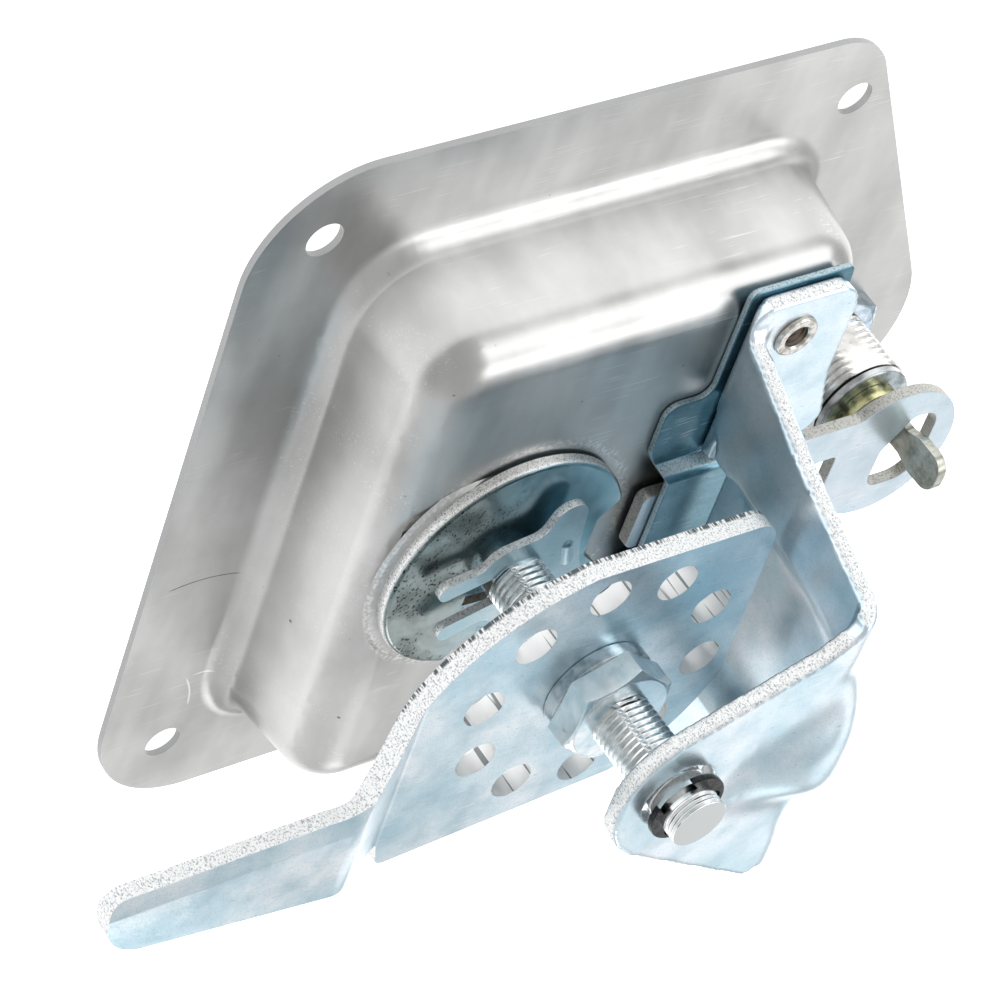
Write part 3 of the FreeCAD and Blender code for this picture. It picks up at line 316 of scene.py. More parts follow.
# --- Base plate, support bracket and turning plate ---------------------------------
# Blanked and folded steel sheet, bright zinc plated and clear passivated: pale blue with
# faint lilac and green tints, fine scuffs and a slight grain from the rolled sheet. The
# sheared edges are torn white and rough, with a dark dashed band where the punch went in.
def zinc_plated_sheet(name, light, tint, shade, dark_band=None, rim_beyond=0, web_from_x=None,
                      torn_light="#F6F7F7", torn_dark="#A2AAAE", torn_depth=0.12):
    """Plated sheet in three shades, torn at its edges; dark_band is the heights of the dashes on
    the rim, which starts so far from the spindle, and web_from_x is where a fold stands up."""
    material, tree = new_material(name)
    flat = add(tree, "ShaderNodeMapRange", {
        "Value": faces_along(tree, "Z"), "From Min": 0.45, "From Max": 0.6})
    if web_from_x is not None:
        along = add(tree, "ShaderNodeMapRange", {
            "Value": faces_along(tree, "X"), "From Min": 0.25, "From Max": 0.4})
        folded = add(tree, "ShaderNodeMapRange", {
            "Value": lies_at(tree, "X"), "From Min": web_from_x * MM, "From Max": (web_from_x + 1) * MM})
        flat = add(tree, "ShaderNodeMath", {
            0: flat,
            1: add(tree, "ShaderNodeMath", {
                0: along, 1: folded}, operation="MULTIPLY")}, operation="MAXIMUM")
    edge = add(tree, "ShaderNodeMapRange", {
        "Value": flat, "From Min": 0.0, "From Max": 1.0, "To Min": 1.0, "To Max": 0.0})
    tints = lumps(tree, 17, 3, shift=(0.2, 0.5, 0.1))
    clouds = lumps(tree, 7, 5, shift=(0.4, 0.3, 0.2))
    grain = lumps(tree, 0.40, 2)     # the real grain is finer; this is as fine as shows
    colour = add(tree, "ShaderNodeMix", {
        0: add(tree, "ShaderNodeMapRange", {"Value": tints, "From Min": 0.38, "From Max": 0.62}),
        6: light, 7: tint}, 2, data_type="RGBA")
    colour = add(tree, "ShaderNodeMix", {
        0: add(tree, "ShaderNodeMath", {
            0: add(tree, "ShaderNodeMapRange", {"Value": clouds, "From Min": 0.45, "From Max": 0.75}),
            1: 0.6}, operation="MULTIPLY"),
        6: colour, 7: shade}, 2, data_type="RGBA")
    colour = add(tree, "ShaderNodeMix", {
        0: add(tree, "ShaderNodeMath", {
            0: add(tree, "ShaderNodeMapRange", {"Value": grain, "From Min": 0.5, "From Max": 0.72}),
            1: 0.3}, operation="MULTIPLY"),
        6: colour, 7: shade}, 2, data_type="RGBA")
    marks = add(tree, "ShaderNodeMath", {
        0: scuffs(tree, 7, 0.22, 34, 0.66, (0.3, 0.1, 0)),
        1: scuffs(tree, 5, 0.2, -51, 0.67)}, operation="MAXIMUM")
    nicks = add(tree, "ShaderNodeMapRange", {
        "Value": lumps(tree, 1.6, 1, (1, 5, 5), 28, (0.9, 0.3, 0.6), 0.3),
        "From Min": 0.76, "From Max": 0.79})
    colour = add(tree, "ShaderNodeMix", {
        0: add(tree, "ShaderNodeMath", {0: marks, 1: 0.5}, operation="MULTIPLY"),
        6: colour, 7: "#FAFCFD"}, 2, data_type="RGBA")
    colour = add(tree, "ShaderNodeMix", {
        0: add(tree, "ShaderNodeMath", {0: nicks, 1: 0.45}, operation="MULTIPLY"),
        6: colour, 7: "#5B6B73"}, 2, data_type="RGBA")
    torn = lumps(tree, 0.26, 2, (1, 1, 0.7), rough=0.6)
    edge_colour = add(tree, "ShaderNodeMix", {
        0: add(tree, "ShaderNodeMapRange", {"Value": torn, "From Min": 0.5, "From Max": 0.66}),
        6: torn_light, 7: torn_dark}, 2, data_type="RGBA")
    if dark_band:
        band = add(tree, "ShaderNodeMapRange", {
            "Value": lies_at(tree, "Z"),
            "From Min": dark_band[0] * MM, "From Max": dark_band[1] * MM, "To Min": 1.0, "To Max": 0.0})
        dashes = add(tree, "ShaderNodeMapRange", {
            "Value": lumps(tree, 0.3, 1, (1, 1, 0.08), rough=0.3), "From Min": 0.44, "From Max": 0.56})
        edge_colour = add(tree, "ShaderNodeMix", {
            0: add(tree, "ShaderNodeMath", {0: band, 1: dashes}, operation="MULTIPLY"),
            6: edge_colour, 7: "#555D60"}, 2, data_type="RGBA")
        streaks = add(tree, "ShaderNodeMapRange", {
            "Value": lumps(tree, 0.9, 1, (1, 1, 0.05), rough=0.3), "From Min": 0.62, "From Max": 0.66})
        punched = add(tree, "ShaderNodeMix", {
            0: add(tree, "ShaderNodeMath", {0: streaks, 1: 0.8}, operation="MULTIPLY"),
            6: "#FBFCFC", 7: "#646B6E"}, 2, data_type="RGBA")
        on_rim = add(tree, "ShaderNodeMapRange", {
            "Value": out_from(tree, joint_at["spindle_turn"]),
            "From Min": rim_beyond * MM, "From Max": (rim_beyond + 0.5) * MM})
        edge_colour = add(tree, "ShaderNodeMix", {
            0: on_rim, 6: punched, 7: edge_colour}, 2, data_type="RGBA")
        torn = add(tree, "ShaderNodeMath", {0: torn, 1: on_rim}, operation="MULTIPLY")
    colour = add(tree, "ShaderNodeMix", {0: edge, 6: colour, 7: edge_colour}, 2, data_type="RGBA")
    normal = add(tree, "ShaderNodeBump", {"Height": grain, "Distance": 0.04 * MM, "Strength": 0.4})
    normal = add(tree, "ShaderNodeBump", {
        "Height": clouds, "Distance": 0.35 * MM, "Strength": 0.1, "Normal": normal})
    normal = add(tree, "ShaderNodeBump", {
        "Height": add(tree, "ShaderNodeMath", {0: torn, 1: edge}, operation="MULTIPLY"),
        "Distance": torn_depth * MM, "Strength": 0.5, "Normal": normal})
    surface(
        tree, colour,
        add(tree, "ShaderNodeMapRange", {
            "Value": edge, "From Min": 0.0, "From Max": 1.0, "To Min": 0.28, "To Max": 0.45}), normal,
        add(tree, "ShaderNodeMapRange", {
            "Value": edge, "From Min": 0.0, "From Max": 1.0, "To Min": 0.84, "To Max": 0.6}))
    return material


# The base plate's plating and torn edges are drawn much darker and bluer than the other plated sheets. This
# is painted shade, for the dark surroundings that the plate mirrors.
form = merged_copy("base_plate")
break_edges(form, 0.45, 3)
fit(form, "base_plate_pressed", "base_plate",
    zinc_plated_sheet("zinc_plated_base_sheet_painted_dark", "#6E94A3", "#4D7786", "#355A67", torn_light="#B9CBD3",
                      torn_dark="#6F919E", torn_depth=0.04))


def remeshed(form, voxel_mm):
    """The form as an even skin of small squares, ready for smoothing."""
    mesh = bpy.data.meshes.new("skin")
    form.to_mesh(mesh)
    form.free()
    draft = bpy.data.objects.new("skin", mesh)
    scene.collection.objects.link(draft)
    skin = draft.modifiers.new("skin", "REMESH")
    skin.mode, skin.voxel_size = "VOXEL", voxel_mm * MM
    bpy.context.view_layer.update()
    ready = bpy.data.meshes.new_from_object(draft.evaluated_get(bpy.context.evaluated_depsgraph_get()))
    even = bmesh.new()
    even.from_mesh(ready)
    bpy.data.objects.remove(draft)
    bpy.data.meshes.remove(mesh)
    bpy.data.meshes.remove(ready)
    return even


# The bead is pressed in one stroke, so it swells out of web, bend and ear with no crease.
# Its field is given in millimetres from the spindle; the ear's two free edges slant in x.
BRACKET_SKIN = 0.5
WEB_FROM_X, WEB_FROM_Z, WEB_TO_Z, WEB_HALF_Y = 20, 32, 70, 23
EAR_FROM_X, EAR_FROM_Z = 9, 66
EAR_LOW_Y, EAR_LOW_SLANT, EAR_HIGH_Y, EAR_HIGH_SLANT = 13, 0.5, 9, 0.4
MARGINS_AND_ROUNDS = ((0, 16), (2, 50), (4, 90))
form = remeshed(merged_copy("support_bracket"), BRACKET_SKIN)
bracket_axis = joint_at["spindle_turn"]


def on_bead(place, margin_mm):
    """Whether a place lies on the bead's field, less a margin, away from the sheet's free edges."""
    x, y, z = (place - bracket_axis).x / MM, place.y / MM, place.z / MM
    on_web = x > WEB_FROM_X and WEB_FROM_Z + margin_mm < z < WEB_TO_Z and abs(y) < WEB_HALF_Y - margin_mm
    low = margin_mm - EAR_LOW_Y - EAR_LOW_SLANT * x
    high = EAR_HIGH_Y + EAR_HIGH_SLANT * x - margin_mm
    return on_web or (z > EAR_FROM_Z and x > EAR_FROM_X + margin_mm and low < y < high)


def smooth_once(form, verts):
    """Draws each point half way to its neighbours."""
    bmesh.ops.smooth_vert(form, verts=verts, factor=0.5, use_axis_x=True, use_axis_y=True, use_axis_z=True)


smooth_once(form, form.verts)
for margin_mm, rounds in MARGINS_AND_ROUNDS:
    swell = [vert for vert in form.verts if on_bead(vert.co, margin_mm)]
    for stroke in range(rounds):
        smooth_once(form, swell)
fit(form, "support_bracket_pressed", "support_bracket",
    zinc_plated_sheet("zinc_plated_bracket_sheet", "#ECF4FB", "#CDE4EE", "#A3C2D0", web_from_x=8),
    smooth_below=80)

form = merged_copy("cam_plate")
break_edges(form, 0.35)
fit(form, "turning_plate_pressed", "cam_plate",
    zinc_plated_sheet("zinc_plated_turning_sheet", "#ECF4F9", "#C4DEE9", "#93B7C7", dark_band=(47.4, 47.8),
                      rim_beyond=25.4))


# --- Rivets ------------------------------------------------------------------------
# Tubular steel rivets that hold bracket, base plate and pan together, zinc plated, with
# rolled heads on the bracket's feet; the bore has picked up a little brown from dirt.
rivet_steel, tree = new_material("zinc_plated_rivet_steel")
dull = lumps(tree, 1.2, 3)
colour = add(tree, "ShaderNodeMix", {
    0: add(tree, "ShaderNodeMapRange", {"Value": dull, "From Min": 0.4, "From Max": 0.65}),
    6: "#D8D6D2", 7: "#A9A49C"}, 2, data_type="RGBA")
bore = add(tree, "ShaderNodeMapRange", {"Value": faces_along(tree, "Z"), "From Min": 0.25, "From Max": 0.1})
drawn_rings = add(tree, "ShaderNodeMapRange", {
    "Value": lumps(tree, 0.5, 1, (0.1, 0.1, 1)), "From Min": 0.45, "From Max": 0.55})
colour = add(tree, "ShaderNodeMix", {
    0: bore,
    6: colour,
    7: add(tree, "ShaderNodeMix", {
        0: drawn_rings, 6: "#D8CFC6", 7: "#8F8478"}, 2, data_type="RGBA")}, 2, data_type="RGBA")
surface(
    tree, colour,
    add(tree, "ShaderNodeMapRange", {
        "Value": bore, "From Min": 0, "From Max": 1, "To Min": 0.26, "To Max": 0.5}),
    add(tree, "ShaderNodeBump", {"Height": dull, "Distance": 0.05 * MM, "Strength": 0.3}))
fit(merged_copy("rivets"), "rivets_set", "rivets", rivet_steel)


# --- Spindle -----------------------------------------------------------------------
# A machined steel bar with a metric 10 mm fine thread and two milled flats, bright zinc
# plated, so the crests glint like chrome and the roots stay dark. Its end is plain, with
# a groove for the clip; the hinge end below the collar carries the handle.
CREST_R, ROOT_R, HALF_ACROSS_FLATS = 5.0, 4.05, 4.2
THREAD_PITCH, TANG_FROM, THREAD_FROM, THREAD_TO = 1.1, -40, 28.5, 73.1
TIP_PITCH, TIP_FROM, TIP_TO, TIP_CREST_R, TIP_ROOT_R = 0.75, 76.9, 79.4, 4.74, 4.5
STEPS_A_TURN = 40
spindle_at = joint_at["spindle_turn"]


def cut_to_length(form, low, high):
    """Cuts a form off square at two heights and closes it there."""
    for height, side in ((low, -1), (high, 1)):
        bmesh.ops.bisect_plane(form, geom=form.verts[:] + form.edges[:] + form.faces[:], dist=0.0001 * MM,
                               plane_co=(0, 0, height * MM), plane_no=(0, 0, side), clear_outer=True)
        rim = [edge for edge in form.edges if edge.is_boundary
               and all(abs(vert.co.z - height * MM) < 0.01 * MM for vert in edge.verts)]
        bmesh.ops.holes_fill(form, edges=rim, sides=0)


def thread(axis, pitch, low, high, crest, root, half_flats=None):
    """A helical thread between two heights round a vertical axis, closed at both ends."""
    turns = int((high - low) / pitch) + 3
    form = bmesh.new()
    groove = [(root, 0.0), (crest, 0.38), (crest, 0.60), (root, 0.94), (root, 1.0)]
    corners = [form.verts.new((axis.x + r * MM, axis.y, (low + (z - 1.5) * pitch) * MM)) for r, z in groove]
    chain = [form.edges.new(pair) for pair in zip(corners, corners[1:])]
    bmesh.ops.spin(form, geom=corners + chain, cent=(axis.x, axis.y, 0), axis=(0, 0, 1),
                   dvec=(0, 0, pitch * MM / STEPS_A_TURN), angle=2 * math.pi * turns,
                   steps=turns * STEPS_A_TURN)
    bmesh.ops.remove_doubles(form, verts=form.verts, dist=0.01 * MM)
    cut_to_length(form, low, high)
    if half_flats:
        for vert in form.verts:
            vert.co.y = max(-half_flats * MM, min(half_flats * MM, vert.co.y - axis.y)) + axis.y
    bmesh.ops.recalc_face_normals(form, faces=form.faces)
    return form


def length_of(node, low, high):
    """The part of a CAD node between two heights, closed where it is cut."""
    form = merged_copy(node)
    cut_to_length(form, low, high)
    return form


def turned(axis, profile, steps=72):
    """A piece turned round a vertical axis from a profile of radius and height, in millimetres."""
    form = bmesh.new()
    corners = [form.verts.new((axis.x + r * MM, axis.y, z * MM)) for r, z in profile]
    chain = [form.edges.new(pair) for pair in zip(corners, corners[1:])]
    bmesh.ops.spin(form, geom=corners + chain, cent=(axis.x, axis.y, 0), axis=(0, 0, 1), angle=2 * math.pi,
                   steps=steps, use_merge=True)
    bmesh.ops.remove_doubles(form, verts=form.verts, dist=0.005 * MM)
    bmesh.ops.recalc_face_normals(form, faces=form.faces)
    return form


def joined(first, *others):
    """Lengths of one piece put together in one form."""
    for extra in others:
        mesh = bpy.data.meshes.new("length")
        extra.to_mesh(mesh)
        extra.free()
        first.from_mesh(mesh)
        bpy.data.meshes.remove(mesh)
    return first


bright_thread, tree = new_material("bright_zinc_on_turned_steel")
patches = lumps(tree, 2.2, 3)
colour = add(tree, "ShaderNodeMix", {
    0: add(tree, "ShaderNodeMapRange", {"Value": patches, "From Min": 0.42, "From Max": 0.7}),
    6: "#F3F4F4", 7: "#D6D9D9"}, 2, data_type="RGBA")
# The flat end face of the spindle is painted a darker grey. This is painted shade, to keep the face from
# glaring.
SHADED_END_FROM = 79
painted_shade_end = add(tree, "ShaderNodeMath", {
    0: add(tree, "ShaderNodeMapRange", {
        "Value": lies_at(tree, "Z"), "From Min": SHADED_END_FROM * MM, "From Max": (SHADED_END_FROM + 0.2) * MM}),
    1: add(tree, "ShaderNodeMapRange", {
        "Value": faces_along(tree, "Z"), "From Min": 0.8, "From Max": 0.95})}, operation="MULTIPLY")
colour = add(tree, "ShaderNodeMix", {0: painted_shade_end, 6: colour, 7: "#B9BDBD"}, 2, data_type="RGBA")
surface(
    tree, colour, 0.22,
    add(tree, "ShaderNodeBump", {"Height": patches, "Distance": 0.05 * MM, "Strength": 0.2}))
CLIP_SEAT_R, CLIP_SEAT_FROM, CLIP_SEAT_TO, NECK_R = 3.6, 75.1, 76.2, 4.75
neck = [(0, THREAD_TO - 0.1), (NECK_R, THREAD_TO - 0.1), (NECK_R, CLIP_SEAT_FROM),
        (CLIP_SEAT_R, CLIP_SEAT_FROM), (CLIP_SEAT_R, CLIP_SEAT_TO), (NECK_R, CLIP_SEAT_TO),
        (NECK_R, TIP_FROM), (0, TIP_FROM)]
form = joined(length_of("spindle", TANG_FROM, THREAD_FROM),
              thread(spindle_at, THREAD_PITCH, THREAD_FROM, THREAD_TO, CREST_R, ROOT_R, HALF_ACROSS_FLATS),
              turned(spindle_at, neck),
              thread(spindle_at, TIP_PITCH, TIP_FROM, TIP_TO, TIP_CREST_R, TIP_ROOT_R))
fit(form, "spindle_threaded", "spindle", bright_thread)


# --- Disc --------------------------------------------------------------------------
# A blanked steel disc squeezed on the spindle's flats, zinc plated; the lock's bolt enters
# its notch. Grease and dirt have settled on the side away from the lock and pitted the
# plating there with black specks; the blanked rim is white and rough.
disc_x = spindle_at.x / MM
dirty_zinc, tree = new_material("dirty_zinc_plated_disc")
side = add(tree, "ShaderNodeMapRange", {
    "Value": lies_at(tree, "X"), "From Min": (disc_x + 2) * MM, "From Max": (disc_x - 9) * MM})
rim = add(tree, "ShaderNodeMapRange", {"Value": faces_along(tree, "Z"), "From Min": 0.75, "From Max": 0.55})
film = lumps(tree, 7, 3, shift=(0.6, 0.1, 0), rough=0.5)
pits = add(tree, "ShaderNodeMapRange", {
    "Value": lumps(tree, 0.5, 1, (1, 0.7, 1), 20, rough=0.35), "From Min": 0.6, "From Max": 0.64})
spotted = add(tree, "ShaderNodeMath", {
    0: pits,
    1: add(tree, "ShaderNodeMath", {
        0: side,
        1: add(tree, "ShaderNodeMapRange", {
            "Value": film,
            "From Min": 0.42, "From Max": 0.5})}, operation="MULTIPLY")}, operation="MULTIPLY")
colour = add(tree, "ShaderNodeMix", {
    0: add(tree, "ShaderNodeMapRange", {"Value": film, "From Min": 0.35, "From Max": 0.6}),
    6: "#A9C3CC", 7: "#86A9B5"}, 2, data_type="RGBA")
colour = add(tree, "ShaderNodeMix", {
    0: side,
    6: colour,
    7: add(tree, "ShaderNodeMix", {
        0: add(tree, "ShaderNodeMapRange", {"Value": film, "From Min": 0.38, "From Max": 0.6}),
        6: "#98A3A2", 7: "#66716F"}, 2, data_type="RGBA")}, 2, data_type="RGBA")
colour = add(tree, "ShaderNodeMix", {
    0: add(tree, "ShaderNodeMath", {0: spotted, 1: 0.95}, operation="MULTIPLY"),
    6: colour, 7: "#1F2323"}, 2, data_type="RGBA")
torn = lumps(tree, 0.26, 2, rough=0.6)
colour = add(tree, "ShaderNodeMix", {
    0: rim,
    6: colour,
    7: add(tree, "ShaderNodeMix", {
        0: add(tree, "ShaderNodeMapRange", {"Value": torn, "From Min": 0.5, "From Max": 0.68}),
        6: "#F1F1F0", 7: "#9A9E9D"}, 2, data_type="RGBA")}, 2, data_type="RGBA")
normal = add(tree, "ShaderNodeBump", {"Height": film, "Distance": 0.6 * MM, "Strength": 0.25})
normal = add(tree, "ShaderNodeBump", {
    "Height": spotted, "Distance": -0.12 * MM, "Strength": 0.5, "Normal": normal})
normal = add(tree, "ShaderNodeBump", {
    "Height": add(tree, "ShaderNodeMath", {0: torn, 1: rim}, operation="MULTIPLY"),
    "Distance": 0.15 * MM, "Strength": 0.4, "Normal": normal})
surface(
    tree, colour,
    add(tree, "ShaderNodeMapRange", {
        "Value": rim, "From Min": 0, "From Max": 1, "To Min": 0.22, "To Max": 0.45}), normal)
form = merged_copy("lock_disc")
break_edges(form, 0.25)
fit(form, "lock_disc_blanked", "lock_disc", dirty_zinc)


# --- Fork, nuts and washers on the spindle ------------------------------------------
# Stamped and turned steel parts under the same bright zinc: a two-pronged fork pressed on
# over the flats, a thin nut on each side of the turning plate and a split spring washer.
# Small hard parts tumble together in the plating drum, so they are bright and nicked.
def tumbled_metal(name, light, shade, lump_mm=2.4, roughness=0.2, nick=0.25, shadow_gap_below=None):
    """A small tumbled part, with the size of its cloudy patches and how dark its nicks are; below the last
    given height it is painted near black, as painted shadow in a gap."""
    material, tree = new_material(name)
    worn = lumps(tree, lump_mm, 4, shift=(0.3, 0.7, 0.2))
    fine = lumps(tree, 0.6, 3, rough=0.7)
    nicks = add(tree, "ShaderNodeMath", {
        0: add(tree, "ShaderNodeMapRange", {
            "Value": lumps(tree, 0.9, 1, rough=0.3), "From Min": 0.74, "From Max": 0.78}),
        1: nick}, operation="MULTIPLY")
    colour = add(tree, "ShaderNodeMix", {
        0: add(tree, "ShaderNodeMapRange", {"Value": worn, "From Min": 0.4, "From Max": 0.66}),
        6: light, 7: shade}, 2, data_type="RGBA")
    colour = add(tree, "ShaderNodeMix", {0: nicks, 6: colour, 7: "#4E585C"}, 2, data_type="RGBA")
    # Painted shadow: a near-black band below the given height, for the gap under the part.
    if shadow_gap_below:
        painted_gap_shadow = add(tree, "ShaderNodeMapRange", {
            "Value": lies_at(tree, "Z"),
            "From Min": (shadow_gap_below - 0.05) * MM, "From Max": shadow_gap_below * MM, "To Min": 1, "To Max": 0})
        colour = add(tree, "ShaderNodeMix", {0: painted_gap_shadow, 6: colour, 7: "#141516"}, 2, data_type="RGBA")
    normal = add(tree, "ShaderNodeBump", {"Height": worn, "Distance": 0.1 * MM, "Strength": 0.2})
    normal = add(tree, "ShaderNodeBump", {
        "Height": fine, "Distance": 0.03 * MM, "Strength": 0.2, "Normal": normal})
    surface(tree, colour, roughness, normal, 0.85)
    return material


bright_zinc = tumbled_metal("bright_zinc_nut_plating", "#F4FAFC", "#C6DDE6", 4.0, 0.24)
for node, edge in (("inner_nut", 0.2), ("outer_nut", 0.25)):
    form = merged_copy(node)
    break_edges(form, edge)
    fit(form, node + "_chamfered", node, bright_zinc)

form = merged_copy("retaining_fork")
break_edges(form, 0.2)
fit(form, "retaining_fork_stamped", "retaining_fork",
    zinc_plated_sheet("zinc_plated_fork_sheet", "#CBDCE4", "#B2CFD9", "#8FAAB5"))

form = merged_copy("spring_washer")
break_edges(form, 0.3)
fit(form, "spring_washer_wound", "spring_washer",
    tumbled_metal("zinc_plated_spring_wire", "#D3D9DC", "#8E9BA1"))

spring_steel = tumbled_metal("plain_spring_steel", "#B9BBBA", "#85888A", 3.0, 0.3)
fit(merged_copy("wave_washer"), "wave_washer_formed", "wave_washer", spring_steel)


# --- Clip --------------------------------------------------------------------------
# A spring-steel E-clip stamped from strip and blackened with oil: near black, with the
# dull gleam of phosphate under the oil. It snaps into the spindle's groove.
clip_black, tree = new_material("oiled_black_phosphate")
mottled = lumps(tree, 0.8, 3)
colour = add(tree, "ShaderNodeMix", {
    0: add(tree, "ShaderNodeMapRange", {"Value": mottled, "From Min": 0.4, "From Max": 0.7}),
    6: "#292B2D", 7: "#101112"}, 2, data_type="RGBA")
surface(
    tree, colour,
    add(tree, "ShaderNodeMapRange", {
        "Value": mottled, "From Min": 0.4, "From Max": 0.7, "To Min": 0.22, "To Max": 0.38}),
    add(tree, "ShaderNodeBump", {"Height": mottled, "Distance": 0.04 * MM, "Strength": 0.3}), 0.85)
form = merged_copy("e_clip")
break_edges(form, 0.18)
fit(form, "e_clip_stamped", "e_clip", clip_black)


# --- Spindle bush ------------------------------------------------------------------
# The flanged brass bush pressed in the pan's floor, in which the spindle turns. It is
# turned from bar, so it has a yellow gleam dulled by handling.
bush_brass = tumbled_metal("turned_brass", "#D9BE7E", "#B0925A", 3.0, 0.28)
fit(merged_copy("shaft_bush"), "spindle_bush_turned", "shaft_bush", bush_brass)


# --- Lock --------------------------------------------------------------------------
# The key lock: a die-cast barrel with a thread and two flats, nickel plated, its nut and
# stop washer, a yellow passivated collar that holds the plug, the steel tail that the
# plug turns, and the flat bolt that the tail slides into the disc's notch.
nickel = tumbled_metal("nickel_on_die_cast_zinc", "#F1F0EE", "#C4C3C0", 3.2, 0.22, 0.3)
lock_at = joint_at["lock_turn"]
BARREL_CREST_R, BARREL_ROOT_R, BARREL_HALF_FLATS = 9.0, 8.5, 7.7
BARREL_PITCH, BARREL_HEAD_FROM, BARREL_FROM, BARREL_TO = 1.3, -10, 0.1, 15.8
form = joined(length_of("lock_body", BARREL_HEAD_FROM, BARREL_FROM),
              thread(lock_at, BARREL_PITCH, BARREL_FROM, BARREL_TO, BARREL_CREST_R, BARREL_ROOT_R,
                     BARREL_HALF_FLATS))
fit(form, "lock_barrel_cast", "lock_body", nickel)

form = merged_copy("lock_nut")
break_edges(form, 0.35)
fit(form, "lock_nut_chamfered", "lock_nut", tumbled_metal("blue_zinc_lock_nut", "#D5E2EC", "#93AAB8"))

# The stop washer's lowest sliver is painted near black, as painted shadow in the gap against the barrel.
form = merged_copy("lock_washer")
break_edges(form, 0.2)
fit(form, "stop_washer_blanked", "lock_washer",
    tumbled_metal("grey_zinc_washer", "#CDD0D0", "#929797", 2.0, 0.25, shadow_gap_below=16.35))

yellow_zinc = tumbled_metal("yellow_passivated_zinc", "#D9D6A4", "#7F8560", 1.6, 0.2, 0.5)
form = merged_copy("plug_retainer")
break_edges(form, 0.2)
fit(form, "plug_collar_blanked", "plug_retainer", yellow_zinc)

form = merged_copy("lock_tail")
break_edges(form, 0.3)
fit(form, "lock_tail_blanked", "lock_tail",
    tumbled_metal("tumbled_zinc_tail", "#B9BAB1", "#8C8E84", 2.0, 0.26, 0.4))

form = merged_copy("lock_bolt")
break_edges(form, 0.25)
fit(form, "lock_bolt_blanked", "lock_bolt",
    zinc_plated_sheet("zinc_plated_bolt_sheet", "#CFD9E2", "#C5D7E0", "#AABBC6", torn_light="#C6C6C1",
                      torn_dark="#8B8B85", torn_depth=0.08))

plug_brass = tumbled_metal("nickel_plated_brass_plug", "#D9D5C6", "#A8A28E", 3.0, 0.22)
for node in ("lock_plug", "lock_wafers"):
    fit(merged_copy(node), node + "_turned", node, plug_brass)


# --- Handle ------------------------------------------------------------------------
# The folding T-handle: a cast grip on a stem that hinges on a steel pin, polished and
# chrome plated, so it mirrors softly with the slight waves that hand polishing leaves.
chrome, tree = new_material("chrome_on_polished_casting")
waves = lumps(tree, 11, 2)
haze = lumps(tree, 4, 4)
colour = add(tree, "ShaderNodeMix", {
    0: add(tree, "ShaderNodeMapRange", {"Value": haze, "From Min": 0.4, "From Max": 0.7}),
    6: "#E3E4E5", 7: "#C6C9CB"}, 2, data_type="RGBA")
surface(
    tree, colour,
    add(tree, "ShaderNodeMapRange", {
        "Value": haze, "From Min": 0.4, "From Max": 0.7, "To Min": 0.08, "To Max": 0.16}),
    add(tree, "ShaderNodeBump", {"Height": waves, "Distance": 0.5 * MM, "Strength": 0.12}))
form = merged_copy("handle")
break_edges(form, 0.6, 3)
fit(form, "t_handle_cast", "handle", chrome)

pin_steel = tumbled_metal("zinc_plated_pin", "#D0D6D8", "#9AA4A8")
fit(merged_copy("hinge_pin"), "hinge_pin_turned", "hinge_pin", pin_steel)


# --- Studio ------------------------------------------------------------------------
# A white sweep under a light tent, seen from behind the latch through a long lens. The
# tent is brightest above and behind, and darkest low on the far side, as in a product
# shot, so drawn ridges catch bright bands and the turned-down side stays grey.
CAMERA_PLACE = Vector((-409.391, 526.209, 372.271)) * MM
CAMERA_BACK = -Vector((0.531948, -0.699537, -0.477159)).normalized()
CAMERA_UP = Vector((0.249791, 0.668058, -0.700930))
LENS_MM = 174.53

camera_data = bpy.data.cameras.new("photo_camera")
camera_data.lens = LENS_MM
camera_data.sensor_width = 36
camera_data.clip_end = 20
camera = bpy.data.objects.new("photo_camera", camera_data)
right = CAMERA_UP.cross(CAMERA_BACK).normalized()
turn = Matrix((right, CAMERA_BACK.cross(right), CAMERA_BACK)).transposed().to_4x4()
camera.matrix_world = Matrix.Translation(CAMERA_PLACE) @ turn
scene.collection.objects.link(camera)
scene.camera = camera

form = bmesh.new()
FLOOR_HALF, FLOOR_BELOW = 3.0, 0.2 * MM
bmesh.ops.create_grid(form, x_segments=1, y_segments=1, size=FLOOR_HALF)
bmesh.ops.translate(form, verts=form.verts, vec=(0, 0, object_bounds()[0].z - FLOOR_BELOW))
floor_mesh = bpy.data.meshes.new("floor")
form.to_mesh(floor_mesh)
form.free()
floor = bpy.data.objects.new("floor", floor_mesh)
scene.collection.objects.link(floor)
white_sweep, tree = new_material("white_paper_sweep")
paper = add(tree, "ShaderNodeBsdfDiffuse", {"Color": "#E8E8E8"})
glow = add(tree, "ShaderNodeEmission", {"Color": "#FFFFFF", "Strength": 0.85})
seen = add(tree, "ShaderNodeMath", {
    0: add(tree, "ShaderNodeLightPath", out="Is Camera Ray"),
    1: add(tree, "ShaderNodeLightPath", out="Is Glossy Ray")}, operation="MAXIMUM")
seen = add(tree, "ShaderNodeMath", {
    0: seen, 1: add(tree, "ShaderNodeLightPath", out="Is Transmission Ray")}, operation="MAXIMUM")
lit = add(tree, "ShaderNodeAddShader", {0: paper, 1: glow})
sweep = add(tree, "ShaderNodeMixShader", {0: seen, 1: paper, 2: lit})
add(tree, "ShaderNodeOutputMaterial", {"Surface": sweep})
floor.data.materials.append(white_sweep)

world = bpy.data.worlds.new("light_tent")
scene.world = world
world.use_nodes = True
tree = world.node_tree
tree.nodes.clear()


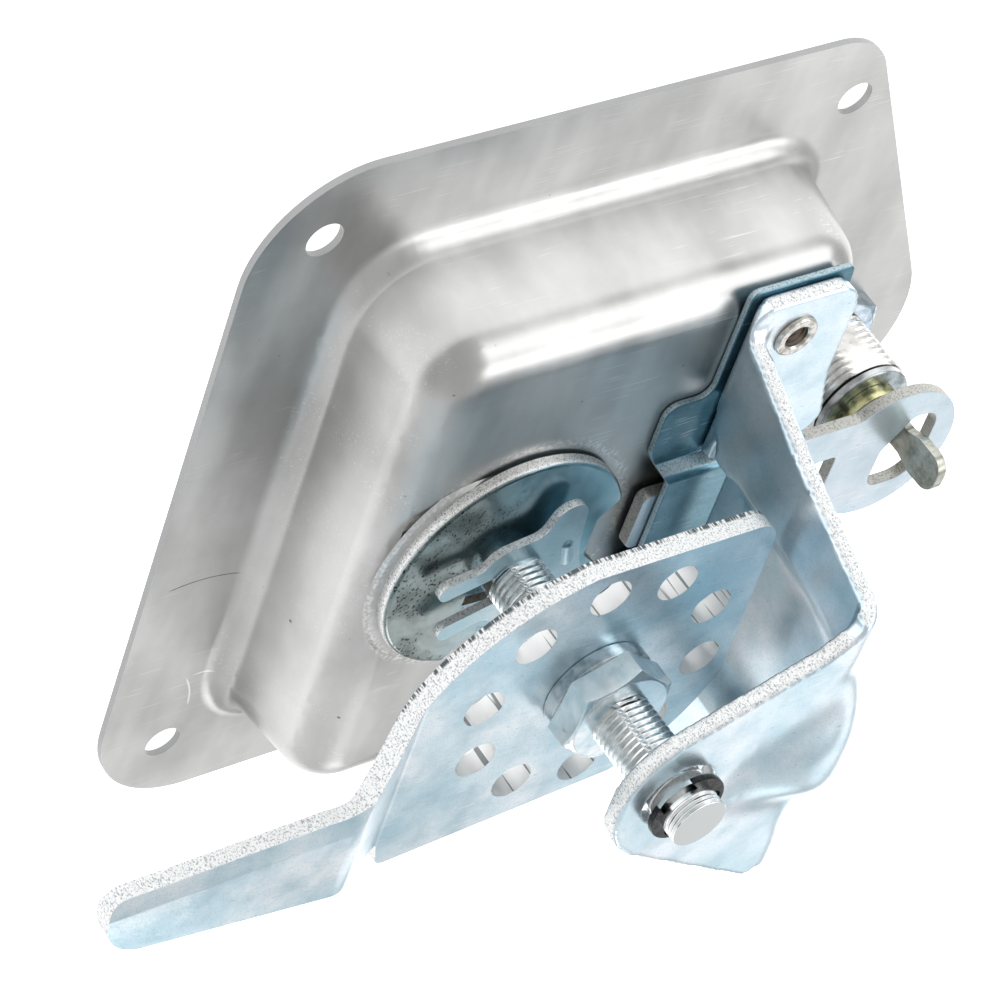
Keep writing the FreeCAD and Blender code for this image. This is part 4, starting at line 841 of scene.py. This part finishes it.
def glare(towards, sharpness, strength):
    """Light that is strongest in one direction and fades away from it."""
    direction = add(tree, "ShaderNodeTexCoord", out="Generated")
    facing = add(tree, "ShaderNodeVectorMath", {0: direction, 1: Vector(towards).normalized()}, "Value",
                 operation="DOT_PRODUCT")
    half = add(tree, "ShaderNodeMath", {0: facing, 1: 0.5, 2: 0.5}, operation="MULTIPLY_ADD", use_clamp=True)
    return add(tree, "ShaderNodeMath", {
        0: add(tree, "ShaderNodeMath", {0: half, 1: sharpness}, operation="POWER"),
        1: strength}, operation="MULTIPLY")


TENT_LEVEL = 0.62
level = add(tree, "ShaderNodeMath", {0: TENT_LEVEL, 1: glare((0.7, 0.7, -0.05), 12, 0.28)}, operation="ADD")
level = add(tree, "ShaderNodeMath", {0: level, 1: glare((-0.6, -0.75, 0.05), 12, 0.3)}, operation="ADD")
level = add(tree, "ShaderNodeMath", {0: level, 1: glare((-0.48, -0.7, 0.46), 24, 0.1)}, operation="ADD")
level = add(tree, "ShaderNodeMath", {0: level, 1: glare((0.4, -0.9, -0.1), 30, 0.3)}, operation="SUBTRACT")
tent = add(tree, "ShaderNodeBackground", {"Color": "#FFFFFF", "Strength": level})
clear = add(tree, "ShaderNodeBackground", {"Color": "#FFFFFF", "Strength": 1.0})
direct = add(tree, "ShaderNodeLightPath", out="Is Camera Ray")
sky = add(tree, "ShaderNodeMixShader", {0: direct, 1: tent, 2: clear})
add(tree, "ShaderNodeOutputWorld", {"Surface": sky})


def softbox(name, place, target, width, height, brightness):
    """A softbox of a given brightness, aimed at a place on the latch."""
    light = bpy.data.lights.new(name, "AREA")
    light.shape = "RECTANGLE"
    light.size, light.size_y = width, height
    light.energy = brightness * math.pi * width * height
    lamp = bpy.data.objects.new(name, light)
    lamp.location = place
    lamp.rotation_euler = (Vector(target) - Vector(place)).to_track_quat("-Z", "Y").to_euler()
    scene.collection.objects.link(lamp)


softbox("lock_side_softbox", (0.42, 0.10, 0.60), (0, 0, 0.02), 0.25, 0.45, 2.6)
softbox("far_side_softbox", (-0.16, -0.50, 0.58), (0, 0, 0.02), 0.40, 0.22, 0.25)
softbox("flange_softbox", (0.62, -0.50, 0.46), (0.03, 0, 0.02), 0.54, 0.45, 0.68)
softbox("wall_softbox", (0.43, 0.45, 0.41), (0.02, 0.05, 0.02), 0.34, 0.40, 1.9)
softbox("arm_softbox", (0.20, -0.84, 0.44), (-0.06, -0.05, 0.05), 0.30, 0.26, 2.1)

scene.view_settings.view_transform = "Standard"
